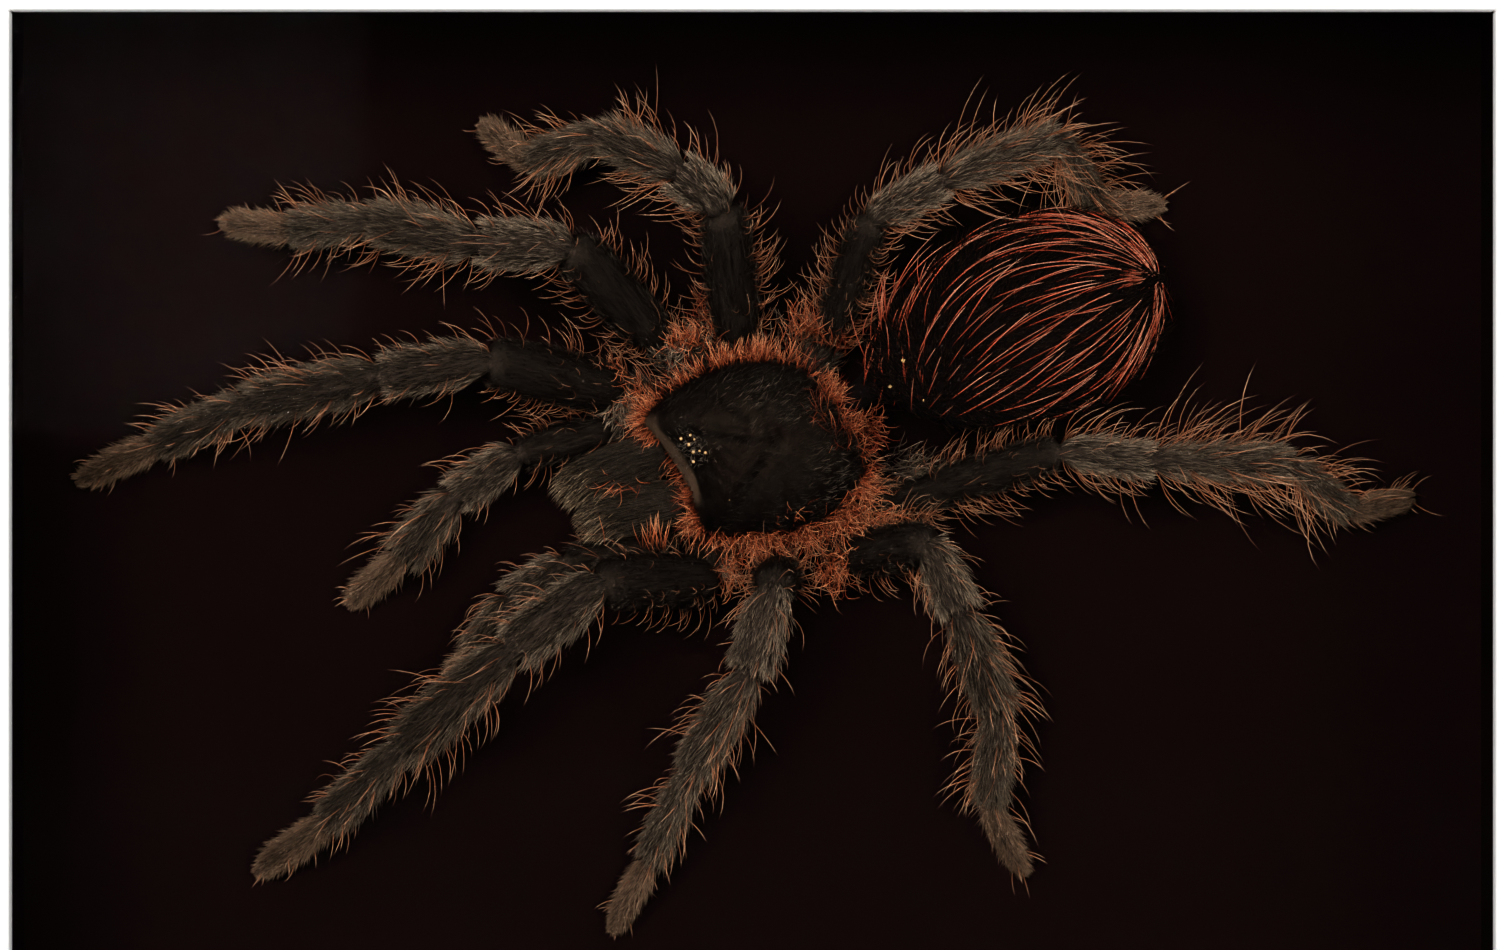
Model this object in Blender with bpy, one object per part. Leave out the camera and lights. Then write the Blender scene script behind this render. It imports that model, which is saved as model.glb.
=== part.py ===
"""Framed tarantula specimen: a white shadow box frame with a black inside, a glass front and a mounted spider.

The box stands on its bottom rail. X runs to the right, Z up and Y away from the viewer, and the
origin is the middle of the box's underside. Lengths named _MM are millimetres and angles named
_DEG are degrees. The spider is laid out in plan from the middle of its carapace, across (to the
right) and up, and every height is measured from the mount board towards the glass.
"""
import math
from collections import namedtuple

import bmesh
import bpy
from mathutils import Matrix, Vector

MM = 0.001
JOINT_GAP_MM = 0.3

SIGHT_WIDTH_MM = 170.0
SIGHT_HEIGHT_MM = 113.3
FACE_WIDTH_MM = 20.0
FRAME_DEPTH_MM = 46.0
LIP_THICKNESS_MM = 3.0
REBATE_MM = 6.0
EDGE_RADIUS_MM = 1.2
EDGE_STEPS = 3

GLASS_THICKNESS_MM = 2.0
INNER_DEPTH_MM = 33.0
BOARD_THICKNESS_MM = 2.0
PANEL_THICKNESS_MM = 2.5
LINER_THICKNESS_MM = 3.8

POINT_SIZE_MM = (10.0, 0.7, 7.0)
POINT_PLACES = (("top", -50.0), ("top", 50.0), ("bottom", -50.0), ("bottom", 50.0), ("left", 0.0), ("right", 0.0))

HANGER_WIDTH_MM = 46.0
HANGER_HEIGHT_MM = 9.0
HANGER_THICKNESS_MM = 0.9
HANGER_DROP_MM = 14.0
HANGER_TEETH = 11
TOOTH_DEPTH_MM = 1.6
TOOTH_SPAN_MM = 28.0
NAIL_SPACING_MM = 38.0
NAIL_HOLE_RADIUS_MM = 1.4
NAIL_SHANK_RADIUS_MM = 0.9
NAIL_HEAD_RADIUS_MM = 2.4
NAIL_HEAD_HEIGHT_MM = 1.1

OUTER_WIDTH_MM = SIGHT_WIDTH_MM + 2 * FACE_WIDTH_MM
OUTER_HEIGHT_MM = SIGHT_HEIGHT_MM + 2 * FACE_WIDTH_MM
FRONT_Y_MM = -FRAME_DEPTH_MM / 2
GLASS_Y_MM = FRONT_Y_MM + LIP_THICKNESS_MM
CAVITY_Y_MM = GLASS_Y_MM + GLASS_THICKNESS_MM
BOARD_Y_MM = CAVITY_Y_MM + INNER_DEPTH_MM
PANEL_Y_MM = BOARD_Y_MM + BOARD_THICKNESS_MM
RECESS_Y_MM = PANEL_Y_MM + PANEL_THICKNESS_MM

CARAPACE_CENTRE_MM = (0.7, 83.3)
CARAPACE_OUTLINE_MM = (
    (-13.4, 3.4), (-10.4, 6.6), (-6.5, 8.9), (-2.2, 10.2), (2.4, 10.2), (6.2, 8.5),
    (9.2, 5.2), (11.2, 1.8), (12.4, -1.2), (11.9, -4.4), (9.5, -7.2), (6.2, -9.2),
    (1.5, -10.1), (-3.2, -10.1), (-6.3, -9.7), (-7.5, -7.0), (-8.5, -3.6), (-10.6, -0.2),
)
OUTLINE_STEPS = 2
FRONT_HEADING_DEG = 208.0
SKIRT_REACH_MM = 2.1
SKIRT_FRONT_REACH_MM = 0.5
CARAPACE_RINGS_MM = (
    (0.38, 0.0, 0.35), (0.48, 0.0, 1.2), (0.50, 0.0, 6.2), (0.58, 0.0, 7.2), (1.0, 0.9, 7.5),
    (1.0, 1.0, 8.2), (1.0, 0.12, 9.2), (0.97, 0.0, 10.4), (0.89, 0.0, 11.8), (0.74, 0.0, 13.0),
    (0.52, 0.0, 13.8), (0.26, 0.0, 14.2),
)
EYE_MOUND_PLACE_MM = (-7.7, 0.1, 12.0)
EYE_MOUND_RADII_MM = (1.9, 1.5, 1.5)
EYE_MOUND_HEADING_DEG = 118.0

ABDOMEN_CENTRE_MM = (30.6, 14.6)
ABDOMEN_HEADING_DEG = 19.0
ABDOMEN_RADII_MM = (19.2, 12.6, 9.6)
ABDOMEN_HEIGHT_MM = 10.6
ABDOMEN_FRONT_TAPER = 0.16

BODY_SIDES = 28
BODY_RINGS = 16
LIMB_SIDES_RESOLUTION = 3
KNEE_ROUNDING = 0.42
KNEE_SHARE = 0.3
SEGMENT_SWELL = (0.95, 1.0, 0.88)
COXA_STEPS = (0.0, 0.45, 0.85)
TIP_STEPS = ((0.96, 0.74), (1.0, 0.42))

Segment = namedtuple("Segment", "reach heading rise_to width")
Limb = namedtuple("Limb", "name root trochanter root_width segments")

LIMBS = (
    Limb("leg_right_1", (-7.4, 3.6, 4.2), (-15.8, 6.7, 4.7), 3.4, (
        Segment(16.3, 167, 15.0, 6.6), Segment(12.6, 188, 16.5, 5.0), Segment(16.4, 192, 11.0, 5.0),
        Segment(12.2, 203, 5.0, 4.0), Segment(10.4, 204, 2.3, 3.3))),
    Limb("leg_right_2", (-4.2, 5.6, 4.2), (-11.6, 12.6, 4.7), 3.4, (
        Segment(15.2, 133, 15.0, 6.4), Segment(10.9, 178, 17.0, 5.4), Segment(13.1, 168, 12.0, 5.2),
        Segment(9.6, 185, 6.0, 4.4), Segment(8.5, 174, 2.3, 3.4))),
    Limb("leg_right_3", (-0.6, 7.0, 4.2), (-2.5, 12.8, 4.7), 3.4, (
        Segment(15.4, 96, 16.0, 6.2), Segment(6.7, 140, 19.0, 5.2), Segment(10.0, 153, 13.0, 4.6),
        Segment(9.3, 199, 6.0, 4.2), Segment(7.6, 142, 2.3, 3.2))),
    Limb("leg_right_4", (3.2, 6.7, 4.2), (8.3, 12.6, 4.7), 3.4, (
        Segment(15.0, 71, 16.0, 4.8), Segment(9.3, 29, 19.0, 4.4), Segment(14.5, 21, 16.0, 4.2),
        Segment(9.3, 304, 5.0, 3.8), Segment(8.0, 1, 2.3, 3.2))),
    Limb("leg_left_1", (-4.6, -6.3, 4.2), (-5.6, -15.8, 4.9), 3.4, (
        Segment(12.8, 180, 16.5, 7.0), Segment(13.2, 217, 18.5, 5.9), Segment(17.7, 222, 12.0, 5.6),
        Segment(12.6, 224, 6.0, 4.4), Segment(10.5, 216, 2.3, 3.6))),
    Limb("leg_left_2", (-0.3, -7.1, 4.2), (2.6, -15.0, 4.6), 3.4, (
        Segment(1.2, 240, 17.0, 5.8), Segment(10.6, 254, 17.5, 5.6), Segment(14.0, 240, 11.0, 5.0),
        Segment(11.7, 245, 5.0, 4.2), Segment(9.6, 242, 2.3, 3.4))),
    Limb("leg_left_3", (3.7, -6.0, 4.2), (10.9, -12.8, 4.7), 3.4, (
        Segment(9.3, 10, 16.0, 6.0), Segment(8.8, 295, 18.0, 5.0), Segment(12.4, 291, 12.0, 5.0),
        Segment(11.4, 266, 6.0, 4.2), Segment(9.4, 296, 2.3, 3.2))),
    Limb("leg_left_4", (7.8, -3.7, 4.2), (15.8, -6.4, 4.7), 3.4, (
        Segment(20.6, 17, 14.0, 5.0), Segment(10.8, 354, 15.5, 4.2), Segment(16.4, 359, 10.5, 4.2),
        Segment(9.3, 322, 5.0, 3.6), Segment(7.9, 12, 2.3, 3.2))),
    Limb("pedipalp_right", (-8.0, -0.2, 3.4), (-17.3, 2.4, 3.6), 2.6, (
        Segment(11.4, 195, 8.0, 4.4), Segment(9.0, 214, 8.5, 4.4), Segment(9.7, 228, 5.5, 4.4),
        Segment(8.6, 222, 2.3, 3.2))),
    Limb("pedipalp_left", (-6.6, -4.6, 3.0), (-12.4, -11.4, 3.0), 2.6, (
        Segment(10.6, 192, 4.8, 4.0), Segment(7.8, 214, 5.5, 4.2), Segment(7.1, 237, 4.0, 4.0),
        Segment(4.8, 226, 2.3, 3.2))),
)

Chelicera = namedtuple("Chelicera", "name base tip base_width tip_width")
CHELICERAE = (
    Chelicera("chelicera_right", (-13.2, -1.2, 6.6), (-22.6, -4.5, 5.0), 5.0, 4.0),
    Chelicera("chelicera_left", (-10.9, -6.5, 6.6), (-19.9, -8.5, 5.0), 5.0, 4.0),
)
CHELICERA_STEPS = ((0.0, 0.78), (0.12, 0.98), (0.45, 1.06), (0.75, 1.0), (0.92, 0.8), (1.0, 0.48))

COLOURS = {
    "white_paint": ((0.88, 0.88, 0.86), 0.5, 0.0),
    "clear_glass": ((0.95, 0.97, 0.97), 0.05, 0.0),
    "black_board": ((0.006, 0.005, 0.004), 0.9, 0.0),
    "black_liner": ((0.006, 0.005, 0.004), 0.8, 0.0),
    "brown_panel": ((0.30, 0.19, 0.10), 0.8, 0.0),
    "zinc_steel": ((0.55, 0.55, 0.53), 0.4, 1.0),
    "black_cuticle": ((0.012, 0.010, 0.010), 0.5, 0.0),
    "leg_coat": ((0.075, 0.058, 0.048), 0.8, 0.0),
    "russet_coat": ((0.16, 0.035, 0.018), 0.8, 0.0),
}


def make_collection(name):
    """A new collection linked to the scene."""
    group = bpy.data.collections.new(name)
    bpy.context.scene.collection.children.link(group)
    return group


def make_material(name):
    """The Principled material of the named finish, made once."""
    made = bpy.data.materials.get(name)
    if made is not None:
        return made
    colour, roughness, metallic = COLOURS[name]
    made = bpy.data.materials.new(name)
    made.use_nodes = True
    shader = made.node_tree.nodes["Principled BSDF"]
    shader.inputs["Base Color"].default_value = (*colour, 1.0)
    shader.inputs["Roughness"].default_value = roughness
    shader.inputs["Metallic"].default_value = metallic
    return made


def place_object(name, data, group, finish):
    """An object of the data in the group, with its finish."""
    data.materials.append(make_material(finish))
    thing = bpy.data.objects.new(name, data)
    group.objects.link(thing)
    return thing


def mesh_object(name, shape, group, finish, smooth=False):
    """An object of a bmesh given in millimetres."""
    bmesh.ops.scale(shape, vec=(MM, MM, MM), verts=shape.verts)
    bmesh.ops.recalc_face_normals(shape, faces=shape.faces)
    mesh = bpy.data.meshes.new(name)
    shape.to_mesh(mesh)
    shape.free()
    if smooth:
        mesh.shade_smooth()
        mesh.set_sharp_from_angle(angle=math.radians(50))
    return place_object(name, mesh, group, finish)


def add_box(name, low, high, group, finish):
    """A plain box between two corners in millimetres."""
    shape = bmesh.new()
    size = [top - bottom for bottom, top in zip(low, high)]
    middle = [(top + bottom) / 2 for bottom, top in zip(low, high)]
    bmesh.ops.create_cube(shape, size=1.0)
    bmesh.ops.scale(shape, vec=size, verts=shape.verts)
    bmesh.ops.translate(shape, vec=middle, verts=shape.verts)
    return mesh_object(name, shape, group, finish)


def rail_profile():
    """The rail's section as (distance out from the sight edge, y), with the two front edges rounded."""
    radius = EDGE_RADIUS_MM
    points = []
    for centre_out, start in ((radius, 180.0), (FACE_WIDTH_MM - radius, 270.0)):
        for step in range(EDGE_STEPS + 1):
            angle = math.radians(start + 90.0 * step / EDGE_STEPS)
            across = centre_out + radius * math.cos(angle)
            points.append((across, FRONT_Y_MM + radius + radius * math.sin(angle)))
    back = FRONT_Y_MM + FRAME_DEPTH_MM
    points += [(FACE_WIDTH_MM, back), (REBATE_MM, back), (REBATE_MM, GLASS_Y_MM), (0.0, GLASS_Y_MM)]
    return points


def add_rail(name, half_run, half_rise, turn_deg, group):
    """A mitred rail: its sight edge is half_rise from the window's middle and half_run long to each side."""
    shape = bmesh.new()
    mitre = JOINT_GAP_MM / 2 * math.sqrt(2)
    ring = []
    for out, depth in rail_profile():
        ring.append(shape.verts.new((-(half_run + out - mitre), depth, -(half_rise + out))))
    cap = shape.faces.new(ring)
    made = bmesh.ops.extrude_face_region(shape, geom=[cap])
    for vert in made["geom"]:
        if isinstance(vert, bmesh.types.BMVert):
            vert.co.x = -vert.co.x
    turn = Matrix.Rotation(math.radians(turn_deg), 3, "Y")
    bmesh.ops.rotate(shape, cent=(0, 0, 0), matrix=turn, verts=shape.verts)
    bmesh.ops.translate(shape, vec=(0, 0, OUTER_HEIGHT_MM / 2), verts=shape.verts)
    return mesh_object(name, shape, group, "white_paint", smooth=True)


def add_rails(group):
    """The four mitred rails."""
    half_width = SIGHT_WIDTH_MM / 2
    half_height = SIGHT_HEIGHT_MM / 2
    add_rail("rail_bottom", half_width, half_height, 0.0, group)
    add_rail("rail_left", half_height, half_width, 90.0, group)
    add_rail("rail_top", half_width, half_height, 180.0, group)
    add_rail("rail_right", half_height, half_width, 270.0, group)


def add_sheet(name, front, thickness, group, finish):
    """A flat sheet that fills the rebate, from its front face backwards."""
    half_width = SIGHT_WIDTH_MM / 2 + REBATE_MM - JOINT_GAP_MM
    half_height = SIGHT_HEIGHT_MM / 2 + REBATE_MM - JOINT_GAP_MM
    middle = OUTER_HEIGHT_MM / 2
    low = (-half_width, front + JOINT_GAP_MM, middle - half_height)
    high = (half_width, front + thickness, middle + half_height)
    return add_box(name, low, high, group, finish)


def add_liners(group):
    """The black strips round the inside that hold the glass off the board."""
    outer_x = SIGHT_WIDTH_MM / 2 + REBATE_MM - JOINT_GAP_MM
    outer_z = SIGHT_HEIGHT_MM / 2 + REBATE_MM - JOINT_GAP_MM
    inner_x = outer_x - LINER_THICKNESS_MM
    inner_z = outer_z - LINER_THICKNESS_MM
    front = CAVITY_Y_MM + JOINT_GAP_MM
    middle = OUTER_HEIGHT_MM / 2
    side = inner_z - JOINT_GAP_MM
    strips = {
        "liner_top": ((-outer_x, inner_z), (outer_x, outer_z)),
        "liner_bottom": ((-outer_x, -outer_z), (outer_x, -inner_z)),
        "liner_left": ((-outer_x, -side), (-inner_x, side)),
        "liner_right": ((inner_x, -side), (outer_x, side)),
    }
    for name, (low, high) in strips.items():
        low_corner = (low[0], front, middle + low[1])
        high_corner = (high[0], BOARD_Y_MM, middle + high[1])
        add_box(name, low_corner, high_corner, group, "black_liner")


def add_framing_points(group):
    """The flat steel points that hold the backing panel in the rebate."""
    long, thick, wide = POINT_SIZE_MM
    rise = SIGHT_HEIGHT_MM / 2 + REBATE_MM - JOINT_GAP_MM
    run = SIGHT_WIDTH_MM / 2 + REBATE_MM - JOINT_GAP_MM
    front = RECESS_Y_MM + JOINT_GAP_MM
    middle = OUTER_HEIGHT_MM / 2
    spans = {
        "top": lambda at: ((at - wide / 2, rise - long), (at + wide / 2, rise)),
        "bottom": lambda at: ((at - wide / 2, -rise), (at + wide / 2, long - rise)),
        "left": lambda at: ((-run, at - wide / 2), (long - run, at + wide / 2)),
        "right": lambda at: ((run - long, at - wide / 2), (run, at + wide / 2)),
    }
    for number, (side, along) in enumerate(POINT_PLACES, 1):
        low, high = spans[side](along)
        low_corner = (low[0], front, middle + low[1])
        high_corner = (high[0], front + thick, middle + high[1])
        add_box(f"framing_point_{number}", low_corner, high_corner, group, "zinc_steel")


def hanger_outline():
    """The sawtooth hanger seen from behind, as (x, z) about its middle."""
    half_width = HANGER_WIDTH_MM / 2
    half_height = HANGER_HEIGHT_MM / 2
    points = [(-half_width, -half_height), (-half_width, half_height)]
    points += [(half_width, half_height), (half_width, -half_height)]
    pitch = TOOTH_SPAN_MM / HANGER_TEETH
    for tooth in range(HANGER_TEETH):
        right = TOOTH_SPAN_MM / 2 - tooth * pitch
        points.append((right, -half_height))
        points.append((right - pitch / 2, -half_height + TOOTH_DEPTH_MM))
    points.append((-TOOTH_SPAN_MM / 2, -half_height))
    return points


def add_hanger(group, cutters):
    """The sawtooth hanger on the backing panel, with its two nails."""
    front = RECESS_Y_MM + JOINT_GAP_MM
    height = OUTER_HEIGHT_MM / 2 + SIGHT_HEIGHT_MM / 2 - HANGER_DROP_MM
    shape = bmesh.new()
    face = shape.faces.new([shape.verts.new((x, front, height + z)) for x, z in hanger_outline()])
    made = bmesh.ops.extrude_face_region(shape, geom=[face])
    lifted = [vert for vert in made["geom"] if isinstance(vert, bmesh.types.BMVert)]
    bmesh.ops.translate(shape, vec=(0, HANGER_THICKNESS_MM, 0), verts=lifted)
    plate = mesh_object("sawtooth_hanger", shape, group, "zinc_steel")
    for number, side in enumerate((-1, 1), 1):
        across = side * NAIL_SPACING_MM / 2
        hole = bmesh.new()
        bmesh.ops.create_cone(hole, cap_ends=True, segments=16, radius1=NAIL_HOLE_RADIUS_MM,
                              radius2=NAIL_HOLE_RADIUS_MM, depth=4 * HANGER_THICKNESS_MM)
        bmesh.ops.rotate(hole, cent=(0, 0, 0), matrix=Matrix.Rotation(math.pi / 2, 3, "X"), verts=hole.verts)
        bmesh.ops.translate(hole, vec=(across, front, height), verts=hole.verts)
        cutter = mesh_object(f"nail_hole_{number}", hole, cutters, "zinc_steel")
        cutter.hide_render = True
        cutter.display_type = "WIRE"
        cut = plate.modifiers.new("nail_hole", "BOOLEAN")
        cut.operation = "DIFFERENCE"
        cut.object = cutter
        add_nail(f"hanger_nail_{number}", across, height, group)


def add_nail(name, across, height, group):
    """A round-headed nail, turned about its own length, whose shank stands in the hanger's hole."""
    shank_end = RECESS_Y_MM + JOINT_GAP_MM
    seat = shank_end + HANGER_THICKNESS_MM + JOINT_GAP_MM
    head = NAIL_HEAD_RADIUS_MM
    profile = [(0.0, seat + NAIL_HEAD_HEIGHT_MM), (head * 0.6, seat + NAIL_HEAD_HEIGHT_MM * 0.85),
               (head, seat + NAIL_HEAD_HEIGHT_MM * 0.3), (head, seat), (NAIL_SHANK_RADIUS_MM, seat),
               (NAIL_SHANK_RADIUS_MM, shank_end), (0.0, shank_end)]
    shape = bmesh.new()
    verts = [shape.verts.new((across + out, depth, height)) for out, depth in profile]
    edges = [shape.edges.new(pair) for pair in zip(verts, verts[1:])]
    bmesh.ops.spin(shape, geom=verts + edges, cent=(across, 0, height), axis=(0, 1, 0), angle=math.tau,
                   steps=16, use_merge=True)
    bmesh.ops.remove_doubles(shape, verts=shape.verts, dist=0.001)
    return mesh_object(name, shape, group, "zinc_steel", smooth=True)


def plan_point(across, up, height):
    """A point in millimetres, from its place in plan about the carapace's middle and its height off the board."""
    return Vector((CARAPACE_CENTRE_MM[0] + across, BOARD_Y_MM - height, CARAPACE_CENTRE_MM[1] + up))


def smooth_outline(points, steps):
    """A closed outline with extra points on the smooth curve through the given ones."""
    count = len(points)
    outline = []
    for index in range(count):
        before, start, end, after = (Vector(points[(index + shift) % count]) for shift in (-1, 0, 1, 2))
        for step in range(steps):
            share = step / steps
            outline.append(0.5 * (2 * start + (end - before) * share
                                  + (2 * before - 5 * start + 4 * end - after) * share ** 2
                                  + (3 * start - before - 3 * end + after) * share ** 3))
    return outline


def add_cephalothorax(group):
    """The domed carapace with its skirt of hair, on the sternum, with the eye mound grown on it."""
    outline = smooth_outline(CARAPACE_OUTLINE_MM, OUTLINE_STEPS)
    front = Vector((math.cos(math.radians(FRONT_HEADING_DEG)), math.sin(math.radians(FRONT_HEADING_DEG))))
    shape = bmesh.new()
    rings = []
    for scale, skirt, height in CARAPACE_RINGS_MM:
        ring = []
        for point in outline:
            outward = point.normalized()
            facing = max(0.0, outward.dot(front))
            reach = SKIRT_REACH_MM + (SKIRT_FRONT_REACH_MM - SKIRT_REACH_MM) * min(1.0, 1.6 * facing ** 2)
            place = point * scale + outward * skirt * reach
            ring.append(shape.verts.new(plan_point(place.x, place.y, height)))
        edges = [shape.edges.new((ring[index - 1], ring[index])) for index in range(len(ring))]
        rings.append(edges)
    for lower, upper in zip(rings, rings[1:]):
        bmesh.ops.bridge_loops(shape, edges=lower + upper)
    bmesh.ops.contextual_create(shape, geom=rings[0])
    bmesh.ops.contextual_create(shape, geom=rings[-1])
    return mesh_object("cephalothorax", shape, group, "black_cuticle", smooth=True)


def add_eye_mound(body, cutters):
    """The low mound that carries the eyes, joined to the carapace."""
    shape = bmesh.new()
    bmesh.ops.create_uvsphere(shape, u_segments=14, v_segments=8, radius=1.0)
    across, forward, tall = EYE_MOUND_RADII_MM
    bmesh.ops.scale(shape, vec=(across, forward, tall), verts=shape.verts)
    turn = Matrix.Rotation(math.radians(EYE_MOUND_HEADING_DEG), 3, "Z")
    bmesh.ops.rotate(shape, cent=(0, 0, 0), matrix=turn, verts=shape.verts)
    tilt = Matrix.Rotation(math.radians(90), 3, "X")
    bmesh.ops.rotate(shape, cent=(0, 0, 0), matrix=tilt, verts=shape.verts)
    bmesh.ops.translate(shape, vec=plan_point(*EYE_MOUND_PLACE_MM), verts=shape.verts)
    mound = mesh_object("eye_mound", shape, cutters, "black_cuticle")
    mound.hide_render = True
    mound.display_type = "WIRE"
    join = body.modifiers.new("eye_mound", "BOOLEAN")
    join.operation = "UNION"
    join.object = mound


def add_abdomen(group):
    """The egg-shaped abdomen out to the ends of its close coat, narrower at the front."""
    shape = bmesh.new()
    bmesh.ops.create_uvsphere(shape, u_segments=BODY_SIDES, v_segments=BODY_RINGS, radius=1.0)
    bmesh.ops.rotate(shape, cent=(0, 0, 0), matrix=Matrix.Rotation(math.radians(90), 3, "Y"), verts=shape.verts)
    long, wide, tall = ABDOMEN_RADII_MM
    heading = math.radians(ABDOMEN_HEADING_DEG)
    for vert in shape.verts:
        narrow = 1.0 + ABDOMEN_FRONT_TAPER * vert.co.x
        along = vert.co.x * long
        aside = vert.co.y * wide * narrow
        height = ABDOMEN_HEIGHT_MM + vert.co.z * tall * narrow
        across = ABDOMEN_CENTRE_MM[0] + along * math.cos(heading) - aside * math.sin(heading)
        up = ABDOMEN_CENTRE_MM[1] + along * math.sin(heading) + aside * math.cos(heading)
        vert.co = plan_point(across, up, height)
    return mesh_object("abdomen", shape, group, "russet_coat", smooth=True)


def limb_stations(limb):
    """The points of a limb's middle line with the radius at each, from its root to its tip."""
    here = Vector(limb.trochanter)
    stations = []
    for step in COXA_STEPS:
        width = limb.root_width * (1.0 + 0.15 * step)
        stations.append((Vector(limb.root).lerp(here, step), width / 2))
    for segment in limb.segments:
        heading = math.radians(segment.heading)
        end = Vector((here.x + segment.reach * math.cos(heading), here.y + segment.reach * math.sin(heading),
                      segment.rise_to))
        inset = min(KNEE_ROUNDING * segment.width / (end - here).length, KNEE_SHARE)
        for step, swell in zip((inset, 0.5, 1.0 - inset), SEGMENT_SWELL):
            stations.append((here.lerp(end, step), segment.width / 2 * swell))
        last = (here, end, segment.width / 2)
        here = end
    for step, swell in TIP_STEPS:
        stations.append((last[0].lerp(last[1], step), last[2] * swell))
    return stations


def add_tube(name, stations, group, finish):
    """A closed tube through the stations, as a curve with filled caps."""
    curve = bpy.data.curves.new(name, "CURVE")
    curve.dimensions = "3D"
    curve.bevel_depth = MM
    curve.bevel_resolution = LIMB_SIDES_RESOLUTION
    curve.render_resolution_u = 0
    curve.use_fill_caps = True
    spline = curve.splines.new("POLY")
    spline.points.add(len(stations) - 1)
    for point, (place, radius) in zip(spline.points, stations):
        point.co = (*(plan_point(*place) * MM), 1.0)
        point.radius = radius
    spline.use_smooth = True
    return place_object(name, curve, group, finish)


def add_chelicera(jaw, group):
    """One stout jaw, blunt at its front end."""
    base = Vector(jaw.base)
    tip = Vector(jaw.tip)
    stations = []
    for step, swell in CHELICERA_STEPS:
        width = jaw.base_width + (jaw.tip_width - jaw.base_width) * step
        stations.append((base.lerp(tip, step), width / 2 * swell))
    return add_tube(jaw.name, stations, group, "leg_coat")


def main():
    """Clears the scene and builds the box and the spider in it."""
    for old in list(bpy.data.objects):
        bpy.data.objects.remove(old)
    group = make_collection("framed_tarantula_specimen")
    cutters = make_collection("cutters")
    add_rails(group)
    add_sheet("glass_pane", GLASS_Y_MM, GLASS_THICKNESS_MM, group, "clear_glass")
    add_liners(group)
    add_sheet("mount_board", BOARD_Y_MM, BOARD_THICKNESS_MM, group, "black_board")
    add_sheet("backing_panel", PANEL_Y_MM, PANEL_THICKNESS_MM, group, "brown_panel")
    add_framing_points(group)
    add_hanger(group, cutters)
    add_eye_mound(add_cephalothorax(group), cutters)
    add_abdomen(group)
    for jaw in CHELICERAE:
        add_chelicera(jaw, group)
    for limb in LIMBS:
        add_tube(limb.name, limb_stations(limb), group, "leg_coat")


main()
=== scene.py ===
"""Looks of the framed tarantula specimen: the white shadow box, its glass and the hairy spider inside.

The spider is laid out as it was built: in millimetres, in plan from the middle of its carapace
(across to the right, then up), with heights measured from the mount board towards the glass.
Hairs are drawn at random from fixed seeds. A span is the least and the most of what is drawn.
"""
from __future__ import annotations

import logging
import math
from dataclasses import dataclass, field
from enum import Enum

import bmesh
import bpy
import numpy as np
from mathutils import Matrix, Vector


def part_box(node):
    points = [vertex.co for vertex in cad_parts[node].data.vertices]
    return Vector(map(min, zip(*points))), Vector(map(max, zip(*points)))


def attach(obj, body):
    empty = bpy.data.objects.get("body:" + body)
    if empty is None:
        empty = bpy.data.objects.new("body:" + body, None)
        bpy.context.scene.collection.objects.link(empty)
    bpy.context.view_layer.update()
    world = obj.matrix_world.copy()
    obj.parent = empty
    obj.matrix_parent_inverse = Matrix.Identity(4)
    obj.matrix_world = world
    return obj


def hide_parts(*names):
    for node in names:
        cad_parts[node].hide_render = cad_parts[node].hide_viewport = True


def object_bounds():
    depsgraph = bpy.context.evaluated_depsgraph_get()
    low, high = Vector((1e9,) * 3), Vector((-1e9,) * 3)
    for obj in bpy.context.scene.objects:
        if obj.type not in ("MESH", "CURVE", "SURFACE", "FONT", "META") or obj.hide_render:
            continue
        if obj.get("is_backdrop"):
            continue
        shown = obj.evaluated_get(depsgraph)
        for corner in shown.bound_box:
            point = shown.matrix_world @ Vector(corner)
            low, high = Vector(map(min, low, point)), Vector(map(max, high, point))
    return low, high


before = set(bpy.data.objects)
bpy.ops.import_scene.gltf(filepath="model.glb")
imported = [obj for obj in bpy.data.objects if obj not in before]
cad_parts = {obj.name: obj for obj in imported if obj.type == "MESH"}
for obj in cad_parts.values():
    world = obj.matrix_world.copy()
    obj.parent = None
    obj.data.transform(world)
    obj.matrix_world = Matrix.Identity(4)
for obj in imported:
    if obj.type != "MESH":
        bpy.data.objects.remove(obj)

Pair = tuple[float, float]
Triple = tuple[float, float, float]
Stops = tuple[tuple[float, str], ...]

MM = 0.001
BODY = "root"
WARM_SHEEN = "#d9a583"
LOG = logging.getLogger("framed_specimen")

BOARD_GAP_MM = 0.3
CARAPACE_CENTRE_MM = (0.7, 83.3)
FRONT_HEADING_DEG = 208.0
CARAPACE_OUTLINE_MM = (
    (-13.4, 3.4), (-10.4, 6.6), (-6.5, 8.9), (-2.2, 10.2), (2.4, 10.2), (6.2, 8.5),
    (9.2, 5.2), (11.2, 1.8), (12.4, -1.2), (11.9, -4.4), (9.5, -7.2), (6.2, -9.2),
    (1.5, -10.1), (-3.2, -10.1), (-6.3, -9.7), (-7.5, -7.0), (-8.5, -3.6), (-10.6, -0.2),
)


def linear(colour: str) -> tuple[float, float, float, float]:
    """Turns an sRGB hex colour into linear RGBA.

    Args:
        colour: The colour as six hex digits after a hash.

    Returns:
        The colour's linear red, green and blue, and an alpha of one.
    """
    parts = (int(colour[place:place + 2], 16) / 255 for place in (1, 3, 5))
    red, green, blue = (part / 12.92 if part <= 0.04045 else ((part + 0.055) / 1.055) ** 2.4
                        for part in parts)
    return red, green, blue, 1.0


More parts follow.
